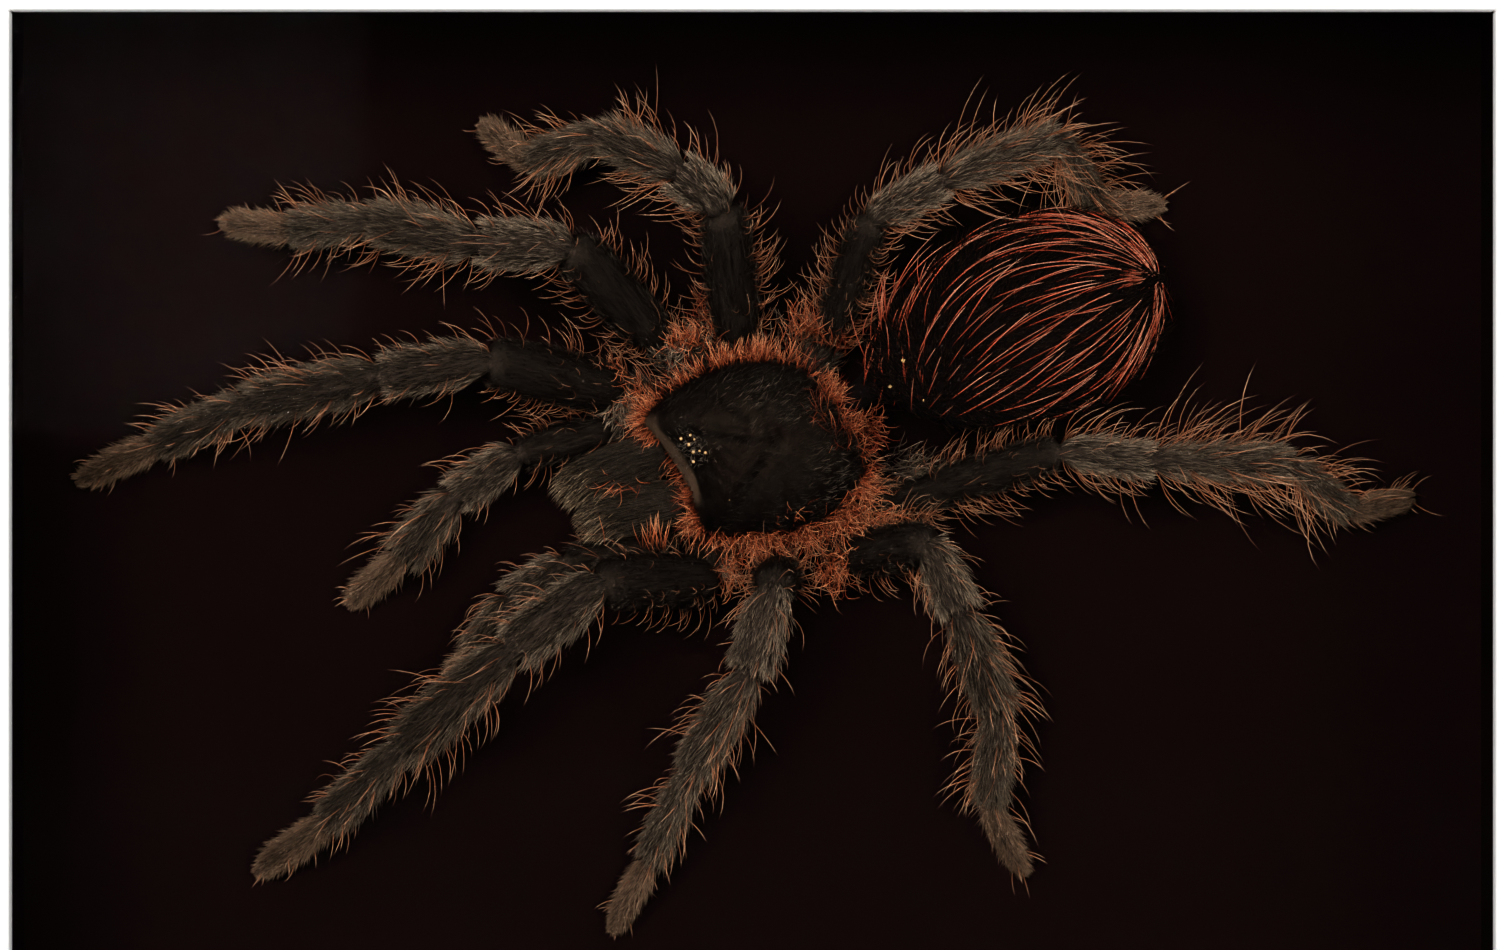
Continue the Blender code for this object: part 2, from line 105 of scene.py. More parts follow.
def add_node(tree: bpy.types.NodeTree, kind: str, settings: dict | None = None,
             links: dict | None = None) -> bpy.types.Node:
    """Adds a node to a tree, with its settings and its incoming links.

    Args:
        tree: The node tree.
        kind: The node's type name.
        settings: Values by input name or number, or else by property name. A hex value is a colour,
            and stops are a ramp's pairs of place and colour.
        links: What feeds each input: a socket, or a node for its first output.

    Returns:
        The new node.
    """
    node = tree.nodes.new(kind)
    for name, value in (settings or {}).items():
        if name == "stops":
            ramp = node.color_ramp.elements
            while len(ramp) < len(value):
                ramp.new(0.5)
            for element, (place, colour) in zip(ramp, value):
                element.position = place
                element.color = linear(colour)
        elif isinstance(name, int) or name in node.inputs:
            node.inputs[name].default_value = linear(value) if isinstance(value, str) else value
        else:
            setattr(node, name, value)
    for name, source in (links or {}).items():
        socket = source if isinstance(source, bpy.types.NodeSocket) else source.outputs[0]
        tree.links.new(socket, node.inputs[name])
    return node


@dataclass(frozen=True)
class Finish:
    """A surface finish; subclasses say what goes into its shader."""

    name: str
    slot: str

    def shader(self, tree: bpy.types.NodeTree) -> tuple[dict, dict]:
        """Adds what feeds the finish's shader.

        Args:
            tree: The material's node tree.

        Returns:
            The shader's settings and links.
        """
        raise NotImplementedError

    def material(self) -> bpy.types.Material:
        """The material of this finish, made once.

        Returns:
            The material, which all the pieces of this finish share.
        """
        made = bpy.data.materials.get(self.name)
        if made is None:
            made = bpy.data.materials.new(self.name)
            made.use_nodes = True
            made.node_tree.nodes.clear()
            shader = add_node(made.node_tree, "ShaderNodeBsdfPrincipled", *self.shader(made.node_tree))
            add_node(made.node_tree, "ShaderNodeOutputMaterial", links={"Surface": shader})
        return made

    def dress(self, *nodes: str) -> None:
        """Gives this finish to carried-over CAD nodes.

        Args:
            nodes: Their names.
        """
        for node in nodes:
            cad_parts[node].data.materials.clear()
            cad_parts[node].data.materials.append(self.material())


@dataclass(frozen=True)
class Plain(Finish):
    """A finish that is the same all over."""

    settings: dict = field(default_factory=dict)

    def shader(self, tree: bpy.types.NodeTree) -> tuple[dict, dict]:
        """Adds nothing; see Finish.shader."""
        return self.settings, {}


@dataclass(frozen=True)
class Grained(Finish):
    """A surface with a fine grain, and coarser patches where it has them.

    The stops colour it by its patches, or by its grain where it has none or the mix says so. Patch
    is the patches' size in millimetres and their detail, mix how much the colour follows patches
    and grain, rough the roughness in the grain's lows and highs, and relief the strength of the
    bump and its depth in millimetres.
    """

    stops: Stops
    grain_mm: float
    detail: float
    rough: Pair
    relief: Pair | None = None
    patch: Pair | None = None
    mix: Pair | None = None
    crispness: float = 0.5
    settings: dict = field(default_factory=dict)

    def shader(self, tree: bpy.types.NodeTree) -> tuple[dict, dict]:
        """Adds the grain, the patches and what follows them.

        Args:
            tree: The material's node tree.

        Returns:
            The shader's settings and links.
        """
        settings, links = dict(self.settings), {}
        place = {"Vector": add_node(tree, "ShaderNodeTexCoord").outputs["Object"]}
        grain = tone = add_node(tree, "ShaderNodeTexNoise", {
            "Scale": 1 / (self.grain_mm * MM), "Detail": self.detail, "Roughness": self.crispness}, place)
        if self.patch:
            size, detail = self.patch
            tone = add_node(tree, "ShaderNodeTexNoise", {"Scale": 1 / (size * MM), "Detail": detail}, place)
        if self.mix:
            part = add_node(tree, "ShaderNodeMath", {"operation": "MULTIPLY", 1: self.mix[1]}, {0: grain})
            tone = add_node(tree, "ShaderNodeMath", {"operation": "MULTIPLY_ADD", 1: self.mix[0]},
                            {0: tone, 2: part})
        links["Base Color"] = add_node(tree, "ShaderNodeValToRGB", {"stops": self.stops}, {"Fac": tone})
        low, high = self.rough
        if low == high:
            settings["Roughness"] = low
        else:
            links["Roughness"] = add_node(tree, "ShaderNodeMapRange", {"To Min": low, "To Max": high},
                                          {"Value": grain})
        if self.relief:
            strength, depth = self.relief
            links["Normal"] = add_node(tree, "ShaderNodeBump", {"Strength": strength, "Distance": depth * MM},
                                       {"Height": grain})
        return settings, links


@dataclass(frozen=True)
class Cuticle(Grained):
    """The bare outer shell, with a paler band where the shade attribute is 1."""

    band: str = "#3f2f24"

    def shader(self, tree: bpy.types.NodeTree) -> tuple[dict, dict]:
        """Lays the band over the shell's grain.

        Args:
            tree: The material's node tree.

        Returns:
            The shader's settings and links.
        """
        settings, links = super().shader(tree)
        shade = add_node(tree, "ShaderNodeAttribute", {"attribute_name": "shade"}).outputs["Fac"]
        links["Base Color"] = add_node(tree, "ShaderNodeMixRGB", {"Color2": self.band},
                                       {"Fac": shade, "Color1": links["Base Color"]})
        return settings, links


@dataclass(frozen=True)
class LimbSkin(Finish):
    """The skin under a limb's coat: short down lying along the limb, black on the thigh and paler outwards.

    The flow attribute holds a point's place round and along the limb in millimetres, shade runs from
    the black thigh at 0 to the tan foot at 1, and ring is 1 on the pale soft skin of a joint. Relief
    is the bump's strength and its depth in millimetres.
    """

    dark: Stops = ((0.0, "#040303"), (0.3, "#0c0908"), (0.65, "#120e0b"), (1.0, "#1d1511"))
    light: Stops = ((0.0, "#120e0b"), (0.3, "#29201a"), (0.65, "#3a2e25"), (1.0, "#52402f"))
    joint: str = "#4d4137"
    streak_mm: float = 0.34
    streak_stretch: float = 0.13
    streak_edge: Pair = (0.38, 0.66)
    relief: Pair = (0.8, 0.15)
    roughness: float = 0.62
    gloss: float = 0.06

    def shader(self, tree: bpy.types.NodeTree) -> tuple[dict, dict]:
        """Streaks the skin along the limb between its dark and light tones.

        Args:
            tree: The material's node tree.

        Returns:
            The shader's settings and links.
        """
        flow, shade, ring = (add_node(tree, "ShaderNodeAttribute", {"attribute_name": name}).outputs
                             for name in ("flow", "shade", "ring"))
        turned = add_node(tree, "ShaderNodeMapping", {"Scale": (1.0, 1.0, self.streak_stretch)},
                          {"Vector": flow["Vector"]})
        streak = add_node(tree, "ShaderNodeTexNoise", {
            "Scale": 1 / self.streak_mm, "Detail": 3.0, "Roughness": 0.6}, {"Vector": turned})
        dark, light = (add_node(tree, "ShaderNodeValToRGB", {"stops": stops}, {"Fac": shade["Fac"]})
                       for stops in (self.dark, self.light))
        (low, high), (strength, depth) = self.streak_edge, self.relief
        share = add_node(tree, "ShaderNodeMapRange", {"From Min": low, "From Max": high}, {"Value": streak})
        coat = add_node(tree, "ShaderNodeMixRGB", links={"Fac": share, "Color1": dark, "Color2": light})
        whole = add_node(tree, "ShaderNodeMixRGB", {"Color2": self.joint},
                         {"Fac": ring["Fac"], "Color1": coat})
        relief = add_node(tree, "ShaderNodeBump", {"Strength": strength, "Distance": depth * MM},
                          {"Height": streak})
        return ({"Roughness": self.roughness, "Specular IOR Level": self.gloss, "Specular Tint": WARM_SHEEN},
                {"Base Color": whole, "Normal": relief})


@dataclass(frozen=True)
class Hair(Finish):
    """Hair that pales from root to tip.

    The along attribute runs from 0 at the root to 1 at the tip, and tone is a number for each hair,
    from 0 for the darkest hairs to 1 for the palest.
    """

    dark: Stops = ((0.0, "#090605"), (0.5, "#18120f"), (1.0, "#33291f"))
    light: Stops = ((0.0, "#201813"), (0.5, "#594a3c"), (1.0, "#b2987f"))
    roughness: float = 0.55
    gloss: float = 0.08

    def shader(self, tree: bpy.types.NodeTree) -> tuple[dict, dict]:
        """Mixes the dark and the light hairs' ramps.

        Args:
            tree: The material's node tree.

        Returns:
            The shader's settings and links.
        """
        share, tone = (add_node(tree, "ShaderNodeAttribute", {"attribute_name": name}).outputs["Fac"]
                       for name in ("along", "tone"))
        dark, light = (add_node(tree, "ShaderNodeValToRGB", {"stops": stops}, {"Fac": share})
                       for stops in (self.dark, self.light))
        mixed = add_node(tree, "ShaderNodeMixRGB", links={"Fac": tone, "Color1": dark, "Color2": light})
        return ({"Roughness": self.roughness, "Specular IOR Level": self.gloss, "Specular Tint": WARM_SHEEN},
                {"Base Color": mixed})


@dataclass(frozen=True)
class EyeLens(Finish):
    """A simple eye's horny lens: dark amber, with its pearly mirror layer painted pale only where the lens
    faces the front, as a painted glint.
    """

    # The ramp's pale end is a painted glint, laid on by the shade attribute.
    stops: Stops = ((0.7, "#1d1108"), (1.0, "#8f6a3c"))
    settings: dict = field(default_factory=lambda: {
        "Roughness": 0.22, "Specular IOR Level": 0.6, "Coat Weight": 0.35})

    def shader(self, tree: bpy.types.NodeTree) -> tuple[dict, dict]:
        """Paints the pale pearly glint within the dark rim, by the shade attribute.

        Args:
            tree: The material's node tree.

        Returns:
            The shader's settings and links.
        """
        shade = add_node(tree, "ShaderNodeAttribute", {"attribute_name": "shade"}).outputs["Fac"]
        colour = add_node(tree, "ShaderNodeValToRGB", {"stops": self.stops}, {"Fac": shade})
        return self.settings, {"Base Color": colour}


# Satin paint sprayed on a wood moulding: an even white with the grain just telling through.
WHITE_PAINT = Grained(
    "satin_white_paint", "frame_paint", ((0.35, "#f9f8f5"), (0.65, "#fdfcfa")),
    grain_mm=1.1, detail=4.0, rough=(0.34, 0.52), relief=(0.12, 0.1), patch=(38.5, 2.0))
# Matt black card: a soft paper fibre that swallows nearly all the light. The real fibre is too fine
# to show, so it is drawn at about a third of a millimetre.
MOUNT_CARD, LINER_CARD = (
    Grained(name, slot, ((0.4, "#080303"), (0.7, "#0b0404")), grain_mm=0.35, detail=3.0,
            rough=(0.95, 0.95), relief=(0.25, 0.05), settings={"Specular IOR Level": 0.0})
    for name, slot in (("matt_black_mount_card", "black_board"), ("matt_black_liner_card", "black_liner")))
# Pressed wood fibre: a warm brown sheet with darker fibre bundles in it.
BROWN_HARDBOARD = Grained(
    "brown_hardboard", "backing", ((0.4, "#6b4728"), (0.65, "#8a6240")), grain_mm=1.4, detail=8.0,
    rough=(0.82, 0.82), relief=(0.5, 0.15), patch=(16.7, 3.0), mix=(0.5, 0.6), crispness=0.7)
# Zinc-plated sheet steel: cool grey with cloudy bright and dull patches.
PLATED_STEEL = Grained(
    "zinc_plated_steel", "steel", ((0.4, "#9a9c9b"), (0.6, "#c2c3c0")),
    grain_mm=2.0, detail=3.0, rough=(0.28, 0.5), settings={"Metallic": 1.0})
# Low-reflection picture glass: a coated float sheet that hardly shows but for a faint edge.
CLEAR_GLASS = Plain("low_reflection_picture_glass", "clear_glass", {
    "Base Color": "#fdfffe", "Transmission Weight": 1.0, "IOR": 1.02, "Roughness": 0.0})
# Matt pale floor paint, which takes the box's soft shadow.
PALE_FLOOR = Plain("pale_studio_floor", "", {"Base Color": "#d9d8d5", "Roughness": 0.9})
# Bare horny cuticle: sooty black with a dull waxy gloss and fine pits.
BLACK_SHELL = Cuticle(
    "black_carapace_shell", "black_cuticle", ((0.42, "#030202"), (0.72, "#070605")),
    grain_mm=0.5, detail=5.0, rough=(0.38, 0.7), relief=(0.6, 0.12), patch=(2.38, 4.0),
    settings={"Specular IOR Level": 0.05, "Specular Tint": WARM_SHEEN})
# Thin leathery skin under dense down: black with a reddish depth and no gloss.
BLACK_VELVET = Grained(
    "black_abdomen_velvet", "russet_coat", ((0.4, "#040202"), (0.75, "#0b0504")),
    grain_mm=0.6, detail=4.0, rough=(0.95, 0.95), relief=(0.9, 0.2), settings={"Specular IOR Level": 0.03})
# Dry flakes of shed skin: a chalky yellowish white with darker grains.
SPECK = Grained("dry_skin_flakes", "russet_coat", ((0.35, "#513820"), (0.55, "#8f6c38")),
                grain_mm=0.2, detail=2.0, rough=(0.9, 0.9))
# Horny skin under close down: fine streaks along the limb that fill in between the drawn hairs.
LIMB_SKIN = LimbSkin("limb_skin_with_down", "leg_coat")
# Clear horny lens: a small wet glint on dark amber. Its pale pearly middle is partly a painted glint, set
# where the lens faces the lamps and the glass.
EYE = EyeLens("eye_lens", "black_cuticle")
# The hairs are dry chitin. Each of these says what its hairs look like side by side.
# The knees' and shins' coat: grey-brown with pale tips, which read as a dusty bloom.
COAT_HAIR = Hair("grey_brown_coat_hair", "leg_coat")
# The thighs' coat: short and sooty, with only its tips grey.
THIGH_HAIR = Hair("black_thigh_hair", "leg_coat", ((0.0, "#060504"), (1.0, "#0e0b0a")),
                  ((0.0, "#0f0b09"), (0.5, "#2a221c"), (1.0, "#5c4e42")))
# The feet's brushes: soft warm tan over dark roots.
FOOT_HAIR = Hair("tan_foot_hair", "leg_coat", ((0.0, "#150e09"), (0.5, "#302218"), (1.0, "#503c2d")),
                 ((0.0, "#2a1c14"), (0.5, "#634938"), (1.0, "#a9896e")))
# The limbs' long bristles: stiff orange-tan lines with a slight gloss.
SETA_HAIR = Hair("orange_tan_long_hair", "leg_coat", ((0.0, "#220c06"), (0.45, "#5a2f1c"), (1.0, "#845a40")),
                 ((0.0, "#431a0e"), (0.45, "#955c3c"), (1.0, "#d3a785")), roughness=0.5, gloss=0.2)
# The carapace's fringe: rust red in its depth, with peach where its curled tips catch the light.
FRINGE_HAIR = Hair("orange_red_fringe_hair", "russet_coat",
                   ((0.0, "#180502"), (0.5, "#45150b"), (1.0, "#702c1a")),
                   ((0.0, "#421408"), (0.5, "#9b4b2a"), (1.0, "#e09b6c")), gloss=0.1)
# The abdomen's long bristles: brick red to peach, glossy enough to part from the black below.
ABDOMEN_HAIR = Hair("red_orange_abdomen_hair", "russet_coat",
                    ((0.0, "#3a0d07"), (0.35, "#702314"), (1.0, "#8d4a31")),
                    ((0.0, "#5a1a0f"), (0.35, "#a3452d"), (1.0, "#d8997a")), roughness=0.5, gloss=0.2)
# The brushes at the jaws' ends: cream, the palest hairs of the spider.
BRUSH_HAIR = Hair("cream_jaw_brush", "black_cuticle", ((0.0, "#120d09"), (0.5, "#35281d"), (1.0, "#6f5842")),
                  ((0.0, "#2c2018"), (0.5, "#7d654d"), (1.0, "#cfb594")))
# The down on the shell: a thin grey-brown bloom over the black.
SHELL_HAIR = Hair("grey_brown_shell_down", "black_cuticle", ((0.0, "#050403"), (1.0, "#0b0908")),
                  ((0.0, "#1f1915"), (0.6, "#564a3f"), (1.0, "#94867a")))
# The abdomen's down: black all through, which gives the egg a soft dark edge.
DOWN_HAIR = Hair("black_abdomen_down", "russet_coat", ((0.0, "#030202"), (1.0, "#080504")),
                 ((0.0, "#060403"), (1.0, "#140a07")))


def place_piece(mesh: bpy.types.Mesh, finish: Finish, *nodes: str) -> None:
    """Puts a finished mesh in the scene as a piece of the object, under the mesh's name.

    Args:
        mesh: The piece's mesh, in metres in the frame's own place.
        finish: What it is made of.
        nodes: The CAD nodes that it stands for.
    """
    mesh.materials.append(finish.material())
    mesh.shade_smooth()
    thing = bpy.data.objects.new(mesh.name, mesh)
    bpy.context.scene.collection.objects.link(thing)
    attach(thing, BODY)
    if nodes:
        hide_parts(*nodes)
    LOG.info("%s: %d triangles", mesh.name, sum(len(face.vertices) - 2 for face in mesh.polygons))


def give_values(mesh: bpy.types.Mesh, **values: np.ndarray) -> bpy.types.Mesh:
    """Gives a mesh attributes.

    Args:
        mesh: The mesh.
        values: Each attribute's values in the points' order: numbers, or rows of three.

    Returns:
        The mesh.
    """
    for name, rows in values.items():
        kind, key = ("FLOAT", "value") if rows.ndim == 1 else ("FLOAT_VECTOR", "vector")
        mesh.attributes.new(name, kind, "POINT").data.foreach_set(key, rows.ravel())
    return mesh


def take_mesh(shape: bmesh.types.BMesh, name: str) -> bpy.types.Mesh:
    """Turns a shape into a mesh, and frees the shape.

    Args:
        shape: The shape.
        name: The mesh's name.

    Returns:
        The mesh.
    """
    mesh = bpy.data.meshes.new(name)
    shape.to_mesh(mesh)
    shape.free()
    return mesh


@dataclass(frozen=True)
class Plan:
    """The spider's own plan: millimetres from the middle of its carapace and off the board."""

    centre: Pair = CARAPACE_CENTRE_MM
    board_mm: float = field(default_factory=lambda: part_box("mount_board")[0][1] / MM - BOARD_GAP_MM)

    def place(self, points: np.ndarray) -> np.ndarray:
        """World places in metres, rows of X, Y and Z, of plan points, rows of across, up and height."""
        across, up, height = np.moveaxis(np.asarray(points, dtype=float), -1, 0)
        return np.stack((across + self.centre[0], self.board_mm - height, up + self.centre[1]), axis=-1) * MM


def unit(vectors: np.ndarray) -> np.ndarray:
    """The vectors at length one, along the last axis."""
    return vectors / np.maximum(np.linalg.norm(vectors, axis=-1, keepdims=True), 1e-9)


def toward(degrees: float) -> np.ndarray:
    """The unit vector in plan at a heading in degrees."""
    return np.array((math.cos(math.radians(degrees)), math.sin(math.radians(degrees))))


def raised(flat: np.ndarray, height: np.ndarray | float) -> np.ndarray:
    """Rows of across, up and height, from rows of across and up and one height or one for each."""
    return np.column_stack((flat, np.broadcast_to(height, len(flat))))


def ringed_mesh(name: str, rings: list[np.ndarray], plan: Plan) -> bpy.types.Mesh:
    """A closed mesh through rings of plan points.

    Args:
        name: The mesh's name.
        rings: Arrays of as many points each, from one end to the other.
        plan: The spider's plan.

    Returns:
        The mesh, whose points keep the rings' order.
    """
    shape = bmesh.new()
    loops = []
    for ring in rings:
        verts = bmesh.ops.create_circle(shape, segments=len(ring), radius=1.0)["verts"]
        for vert, place in zip(verts, plan.place(ring)):
            vert.co = place
        loops.append(list({edge for vert in verts for edge in vert.link_edges}))
    for lower, upper in zip(loops, loops[1:]):
        bmesh.ops.bridge_loops(shape, edges=lower + upper)
    for end in (loops[0], loops[-1]):
        bmesh.ops.contextual_create(shape, geom=end)
    bmesh.ops.recalc_face_normals(shape, faces=shape.faces)
    return take_mesh(shape, name)


@dataclass(frozen=True)
class Stand:
    """A stand of hairs: how many, the spans of their lengths and widths, and their tones' mean and spread."""

    count: int
    reach: Pair
    width: Pair
    tone: Pair


@dataclass
class HairBed:
    """Hairs gathered for one piece, each a three-sided tube that narrows to a point.

    Real ones are about 0.05 mm thick, too fine to show, so they are drawn two to four times as thick.
    A hair is narrower in its socket, widest a quarter of the way along, and finest at its tip.
    """

    plan: Plan
    name: str
    finish: Hair
    seed: int
    grown: list[tuple[np.ndarray, ...]] = field(default_factory=list)
    count: int = 0

    SIDES = 3
    MIN_CLEARANCE_MM = 0.12
    SOCKET, SWELLING, NARROWING = 0.7, 1.2, 0.8
    WAVE_SPAN = (3.0, 7.0)

    def __post_init__(self) -> None:
        """Starts the random draws."""
        self.draw = np.random.default_rng(self.seed)

    def pick(self, span: Pair | np.ndarray, count: int) -> np.ndarray:
        """So many random numbers from a span, or the numbers themselves where they are given."""
        return self.draw.uniform(*span, count) if isinstance(span, tuple) else span

    def curve(self, roots: np.ndarray, start: np.ndarray, end: np.ndarray, reach: Pair | np.ndarray,
              points: int = 3, curl: float = 0.0) -> np.ndarray:
        """Hair middle lines that leave in one direction and bend to another.

        Args:
            roots: Rows of root places.
            start: Rows of directions at the root.
            end: Rows of directions at the tip.
            reach: The hairs' lengths, or their span.
            points: How many points each line has.
            curl: The size of their kinks.

        Returns:
            An array of hair, point and place.
        """
        start, end = unit(start)[:, None, :], unit(end)[:, None, :]
        reach = self.pick(reach, len(roots))
        share = np.linspace(0.0, 1.0, points)[None, :, None]
        lines = roots[:, None, :] + reach[:, None, None] * (start * share + (end - start) * share ** 2 / 2)
        if curl:
            phase = self.draw.uniform(0.0, math.tau, (len(roots), 1, 3))
            beat = self.draw.uniform(*self.WAVE_SPAN, (len(roots), 1, 1))
            lines += curl * np.sqrt(share) * (np.sin(beat * share + phase) - np.sin(phase))
        return lines

    def add(self, lines: np.ndarray, widths: Pair | np.ndarray, tones: tuple | np.ndarray) -> None:
        """Adds hairs along the given lines.

        Args:
            lines: An array of hair, point and plan place in millimetres.
            widths: Their widths near the root in millimetres, or the span.
            tones: Their tones from 0 to 1, or the middle and the spread.
        """
        hairs, points = lines.shape[:2]
        widths = self.pick(widths, hairs)
        if isinstance(tones, tuple):
            tones = tones[0] + self.draw.normal(0.0, tones[1], hairs)
        lines = lines.copy()
        lines[..., 2] = np.maximum(lines[..., 2], self.MIN_CLEARANCE_MM)
        tangent = unit(np.gradient(lines, axis=1))
        aside = unit(np.cross(tangent, self.draw.normal(size=(hairs, 1, 3))))
        above = np.cross(tangent, aside)
        share = np.linspace(0.0, 1.0, points)
        half = widths[:, None] / 2 * np.clip(self.SOCKET + self.SWELLING * share, 0.0, 1.0)
        half = half * (1.0 - self.NARROWING * share ** 1.5)
        rings = [lines + half[..., None] * (aside * math.cos(turn) + above * math.sin(turn))
                 for turn in np.arange(self.SIDES) * math.tau / self.SIDES]
        body = np.stack(rings, axis=2)[:, :-1].reshape(hairs, -1, 3)
        places = np.concatenate((body, lines[:, -1:]), axis=1)
        size = places.shape[1]
        first = self.count + np.arange(hairs)[:, None, None] * size
        quads, tips = (first + np.array(corners, dtype=int)[None] for corners in self.corners(points))
        along = np.tile(np.append(np.repeat(share[:-1], self.SIDES), 1.0), hairs)
        tones = np.repeat(np.clip(tones, 0.0, 1.0), size)
        self.grown.append((places.reshape(-1, 3), along, tones, quads.reshape(-1, 4), tips.reshape(-1, 3)))
        self.count += hairs * size

    def corners(self, points: int) -> tuple[list, list]:
        """The face corners of one hair.

        Args:
            points: How many points its middle line has.

        Returns:
            The corners of its sides, and those of its ends.
        """
        turns = [(side, (side + 1) % self.SIDES) for side in range(self.SIDES)]
        last = (points - 2) * self.SIDES
        sides = [(low + side, low + after, low + self.SIDES + after, low + self.SIDES + side)
                 for low in range(0, last, self.SIDES) for side, after in turns]
        ends = [(last + side, last + after, last + self.SIDES) for side, after in turns]
        return sides, ends + [(2, 1, 0)]

    def finish_piece(self) -> None:
        """Makes the piece of all the hairs, with its along and tone attributes."""
        places, share, tone, quads, tips = (np.concatenate(rows) for rows in zip(*self.grown))
        mesh = bpy.data.meshes.new(self.name)
        mesh.vertices.add(len(places))
        mesh.vertices.foreach_set("co", self.plan.place(places).ravel())
        mesh.loops.add(quads.size + tips.size)
        mesh.loops.foreach_set("vertex_index", np.concatenate((quads.ravel(), tips.ravel())))
        mesh.polygons.add(len(quads) + len(tips))
        starts = (np.arange(len(quads)) * 4, quads.size + np.arange(len(tips)) * 3)
        mesh.polygons.foreach_set("loop_start", np.concatenate(starts))
        mesh.update(calc_edges=True)
        place_piece(give_values(mesh, along=share, tone=tone), self.finish)


class Part(Enum):
    """The segments of a limb, from the body outwards."""

    COXA = "coxa"
    FEMUR = "femur"
    PATELLA = "patella"
    TIBIA = "tibia"
    METATARSUS = "metatarsus"
    TARSUS = "tarsus"


@dataclass(frozen=True)
class Segment:
    """One segment of a limb: its reach in plan, the way it heads, the height where it ends and its width."""

    reach: float
    heading: float
    rise_to: float
    width: float


@dataclass(frozen=True)
class Coat:
    """How the hairs of one segment grow.

    Lengths are millimetres, counts are hairs for each millimetre of limb, lifts are degrees off the
    skin at the root, shade is the skin's place between black and tan, and skin is its share of the
    segment's whole width.
    """

    shade: float
    skin: float
    coat_count: float
    coat_length: Pair
    coat_lift: float
    seta_count: float
    seta_length: Pair
    seta_lift: float
    tone: float
    seta_tone: float


COATS = {
    Part.COXA: Coat(0.1, 0.92, 40.0, (1.6, 2.8), 26.0, 5.0, (2.2, 3.8), 63.25, 0.4, 0.35),
    Part.FEMUR: Coat(0.0, 0.94, 34.0, (0.9, 1.7), 14.0, 6.2, (2.4, 4.4), 75.9, 0.05, 0.2),
    Part.PATELLA: Coat(0.28, 0.84, 86.0, (1.6, 2.6), 18.0, 5.0, (2.4, 4.6), 71.3, 0.36, 0.45),
    Part.TIBIA: Coat(0.26, 0.82, 88.0, (1.8, 3.0), 20.0, 6.0, (2.8, 5.6), 69.0, 0.34, 0.5),
    Part.METATARSUS: Coat(0.40, 0.76, 96.0, (1.5, 2.6), 24.0, 5.2, (2.2, 4.8), 66.7, 0.45, 0.6),
    Part.TARSUS: Coat(0.7, 0.62, 120.0, (1.2, 2.4), 30.0, 1.8, (1.4, 2.8), 57.5, 0.6, 0.8),
}
LEG_PARTS = tuple(Part)
PALP_PARTS = (Part.COXA, Part.FEMUR, Part.PATELLA, Part.TIBIA, Part.TARSUS)
GROWTHS = (
    ("coat", COAT_HAIR, (Part.PATELLA, Part.TIBIA, Part.METATARSUS)),
    ("thigh_coat", THIGH_HAIR, (Part.COXA, Part.FEMUR)),
    ("foot_coat", FOOT_HAIR, (Part.TARSUS,)),
)


class Tube:
    """A round body swept along a middle line, with places on its skin for hair."""

    SIDES = 20
    FLOW_OFFSET = 7

    def sweep(self, centre: np.ndarray, radius: np.ndarray, part: np.ndarray) -> None:
        """Takes the rings and works out their frames.

        Args:
            centre: The rings' middles in plan, in order.
            radius: Their radii.
            part: The number of the segment that each belongs to.
        """
        self.centre, self.radius, self.part = centre, radius, part
        self.tangent = unit(np.gradient(centre, axis=0))
        self.run = np.append(0.0, np.cumsum(np.linalg.norm(np.diff(centre, axis=0), axis=1)))
        upper, dorsal = np.array((0.0, 0.0, 1.0)), []
        for tangent in self.tangent:
            upper = unit(upper - tangent * upper.dot(tangent))
            dorsal.append(upper)
        self.dorsal = np.array(dorsal)
        self.side = np.cross(self.tangent, self.dorsal)

    def skin(self, plan: Plan, name: str, shade: np.ndarray, ring: np.ndarray) -> bpy.types.Mesh:
        """The closed skin, made ring by ring.

        Args:
            plan: The spider's plan.
            name: The mesh's name.
            shade: How far each ring is from black to tan.
            ring: How far each ring is soft joint skin.

        Returns:
            The mesh, with its flow, shade and ring attributes.
        """
        turns = np.arange(self.SIDES) * math.tau / self.SIDES
        across, up = np.cos(turns)[:, None], np.sin(turns)[:, None]
        rings = [centre + (dorsal * across + side * up) * radius
                 for centre, dorsal, side, radius in zip(self.centre, self.dorsal, self.side, self.radius)]
        run = self.run + self.centre[0].sum() * self.FLOW_OFFSET
        flow = [raised(np.hstack((across, up)) * radius, place) for radius, place in zip(self.radius, run)]
        return give_values(ringed_mesh(name, rings, plan), flow=np.concatenate(flow),
                           shade=np.repeat(shade, self.SIDES), ring=np.repeat(ring, self.SIDES))

    def roots_at(self, run: np.ndarray, turn: np.ndarray) -> tuple[np.ndarray, ...]:
        """Places on the skin.

        Args:
            run: Distances along the tube.
            turn: Angles round it from its upper side.

        Returns:
            The places, the outward and the along directions there, and each one's segment number.
        """
        ring = np.clip(np.searchsorted(self.run, run) - 1, 0, len(self.run) - 2)
        step = ((run - self.run[ring]) / (self.run[ring + 1] - self.run[ring]))[:, None]
        centre = self.centre[ring] * (1 - step) + self.centre[ring + 1] * step
        radius = self.radius[ring, None] * (1 - step) + self.radius[ring + 1, None] * step
        out = self.dorsal[ring] * np.cos(turn)[:, None] + self.side[ring] * np.sin(turn)[:, None]
        return centre + out * radius, out, self.tangent[ring], self.part[ring]


def leaning(out: np.ndarray, ahead: np.ndarray, lift: np.ndarray) -> np.ndarray:
    """Directions between along the skin and straight off it, at each one's lift in radians."""
    return out * np.sin(lift)[:, None] + ahead * np.cos(lift)[:, None]


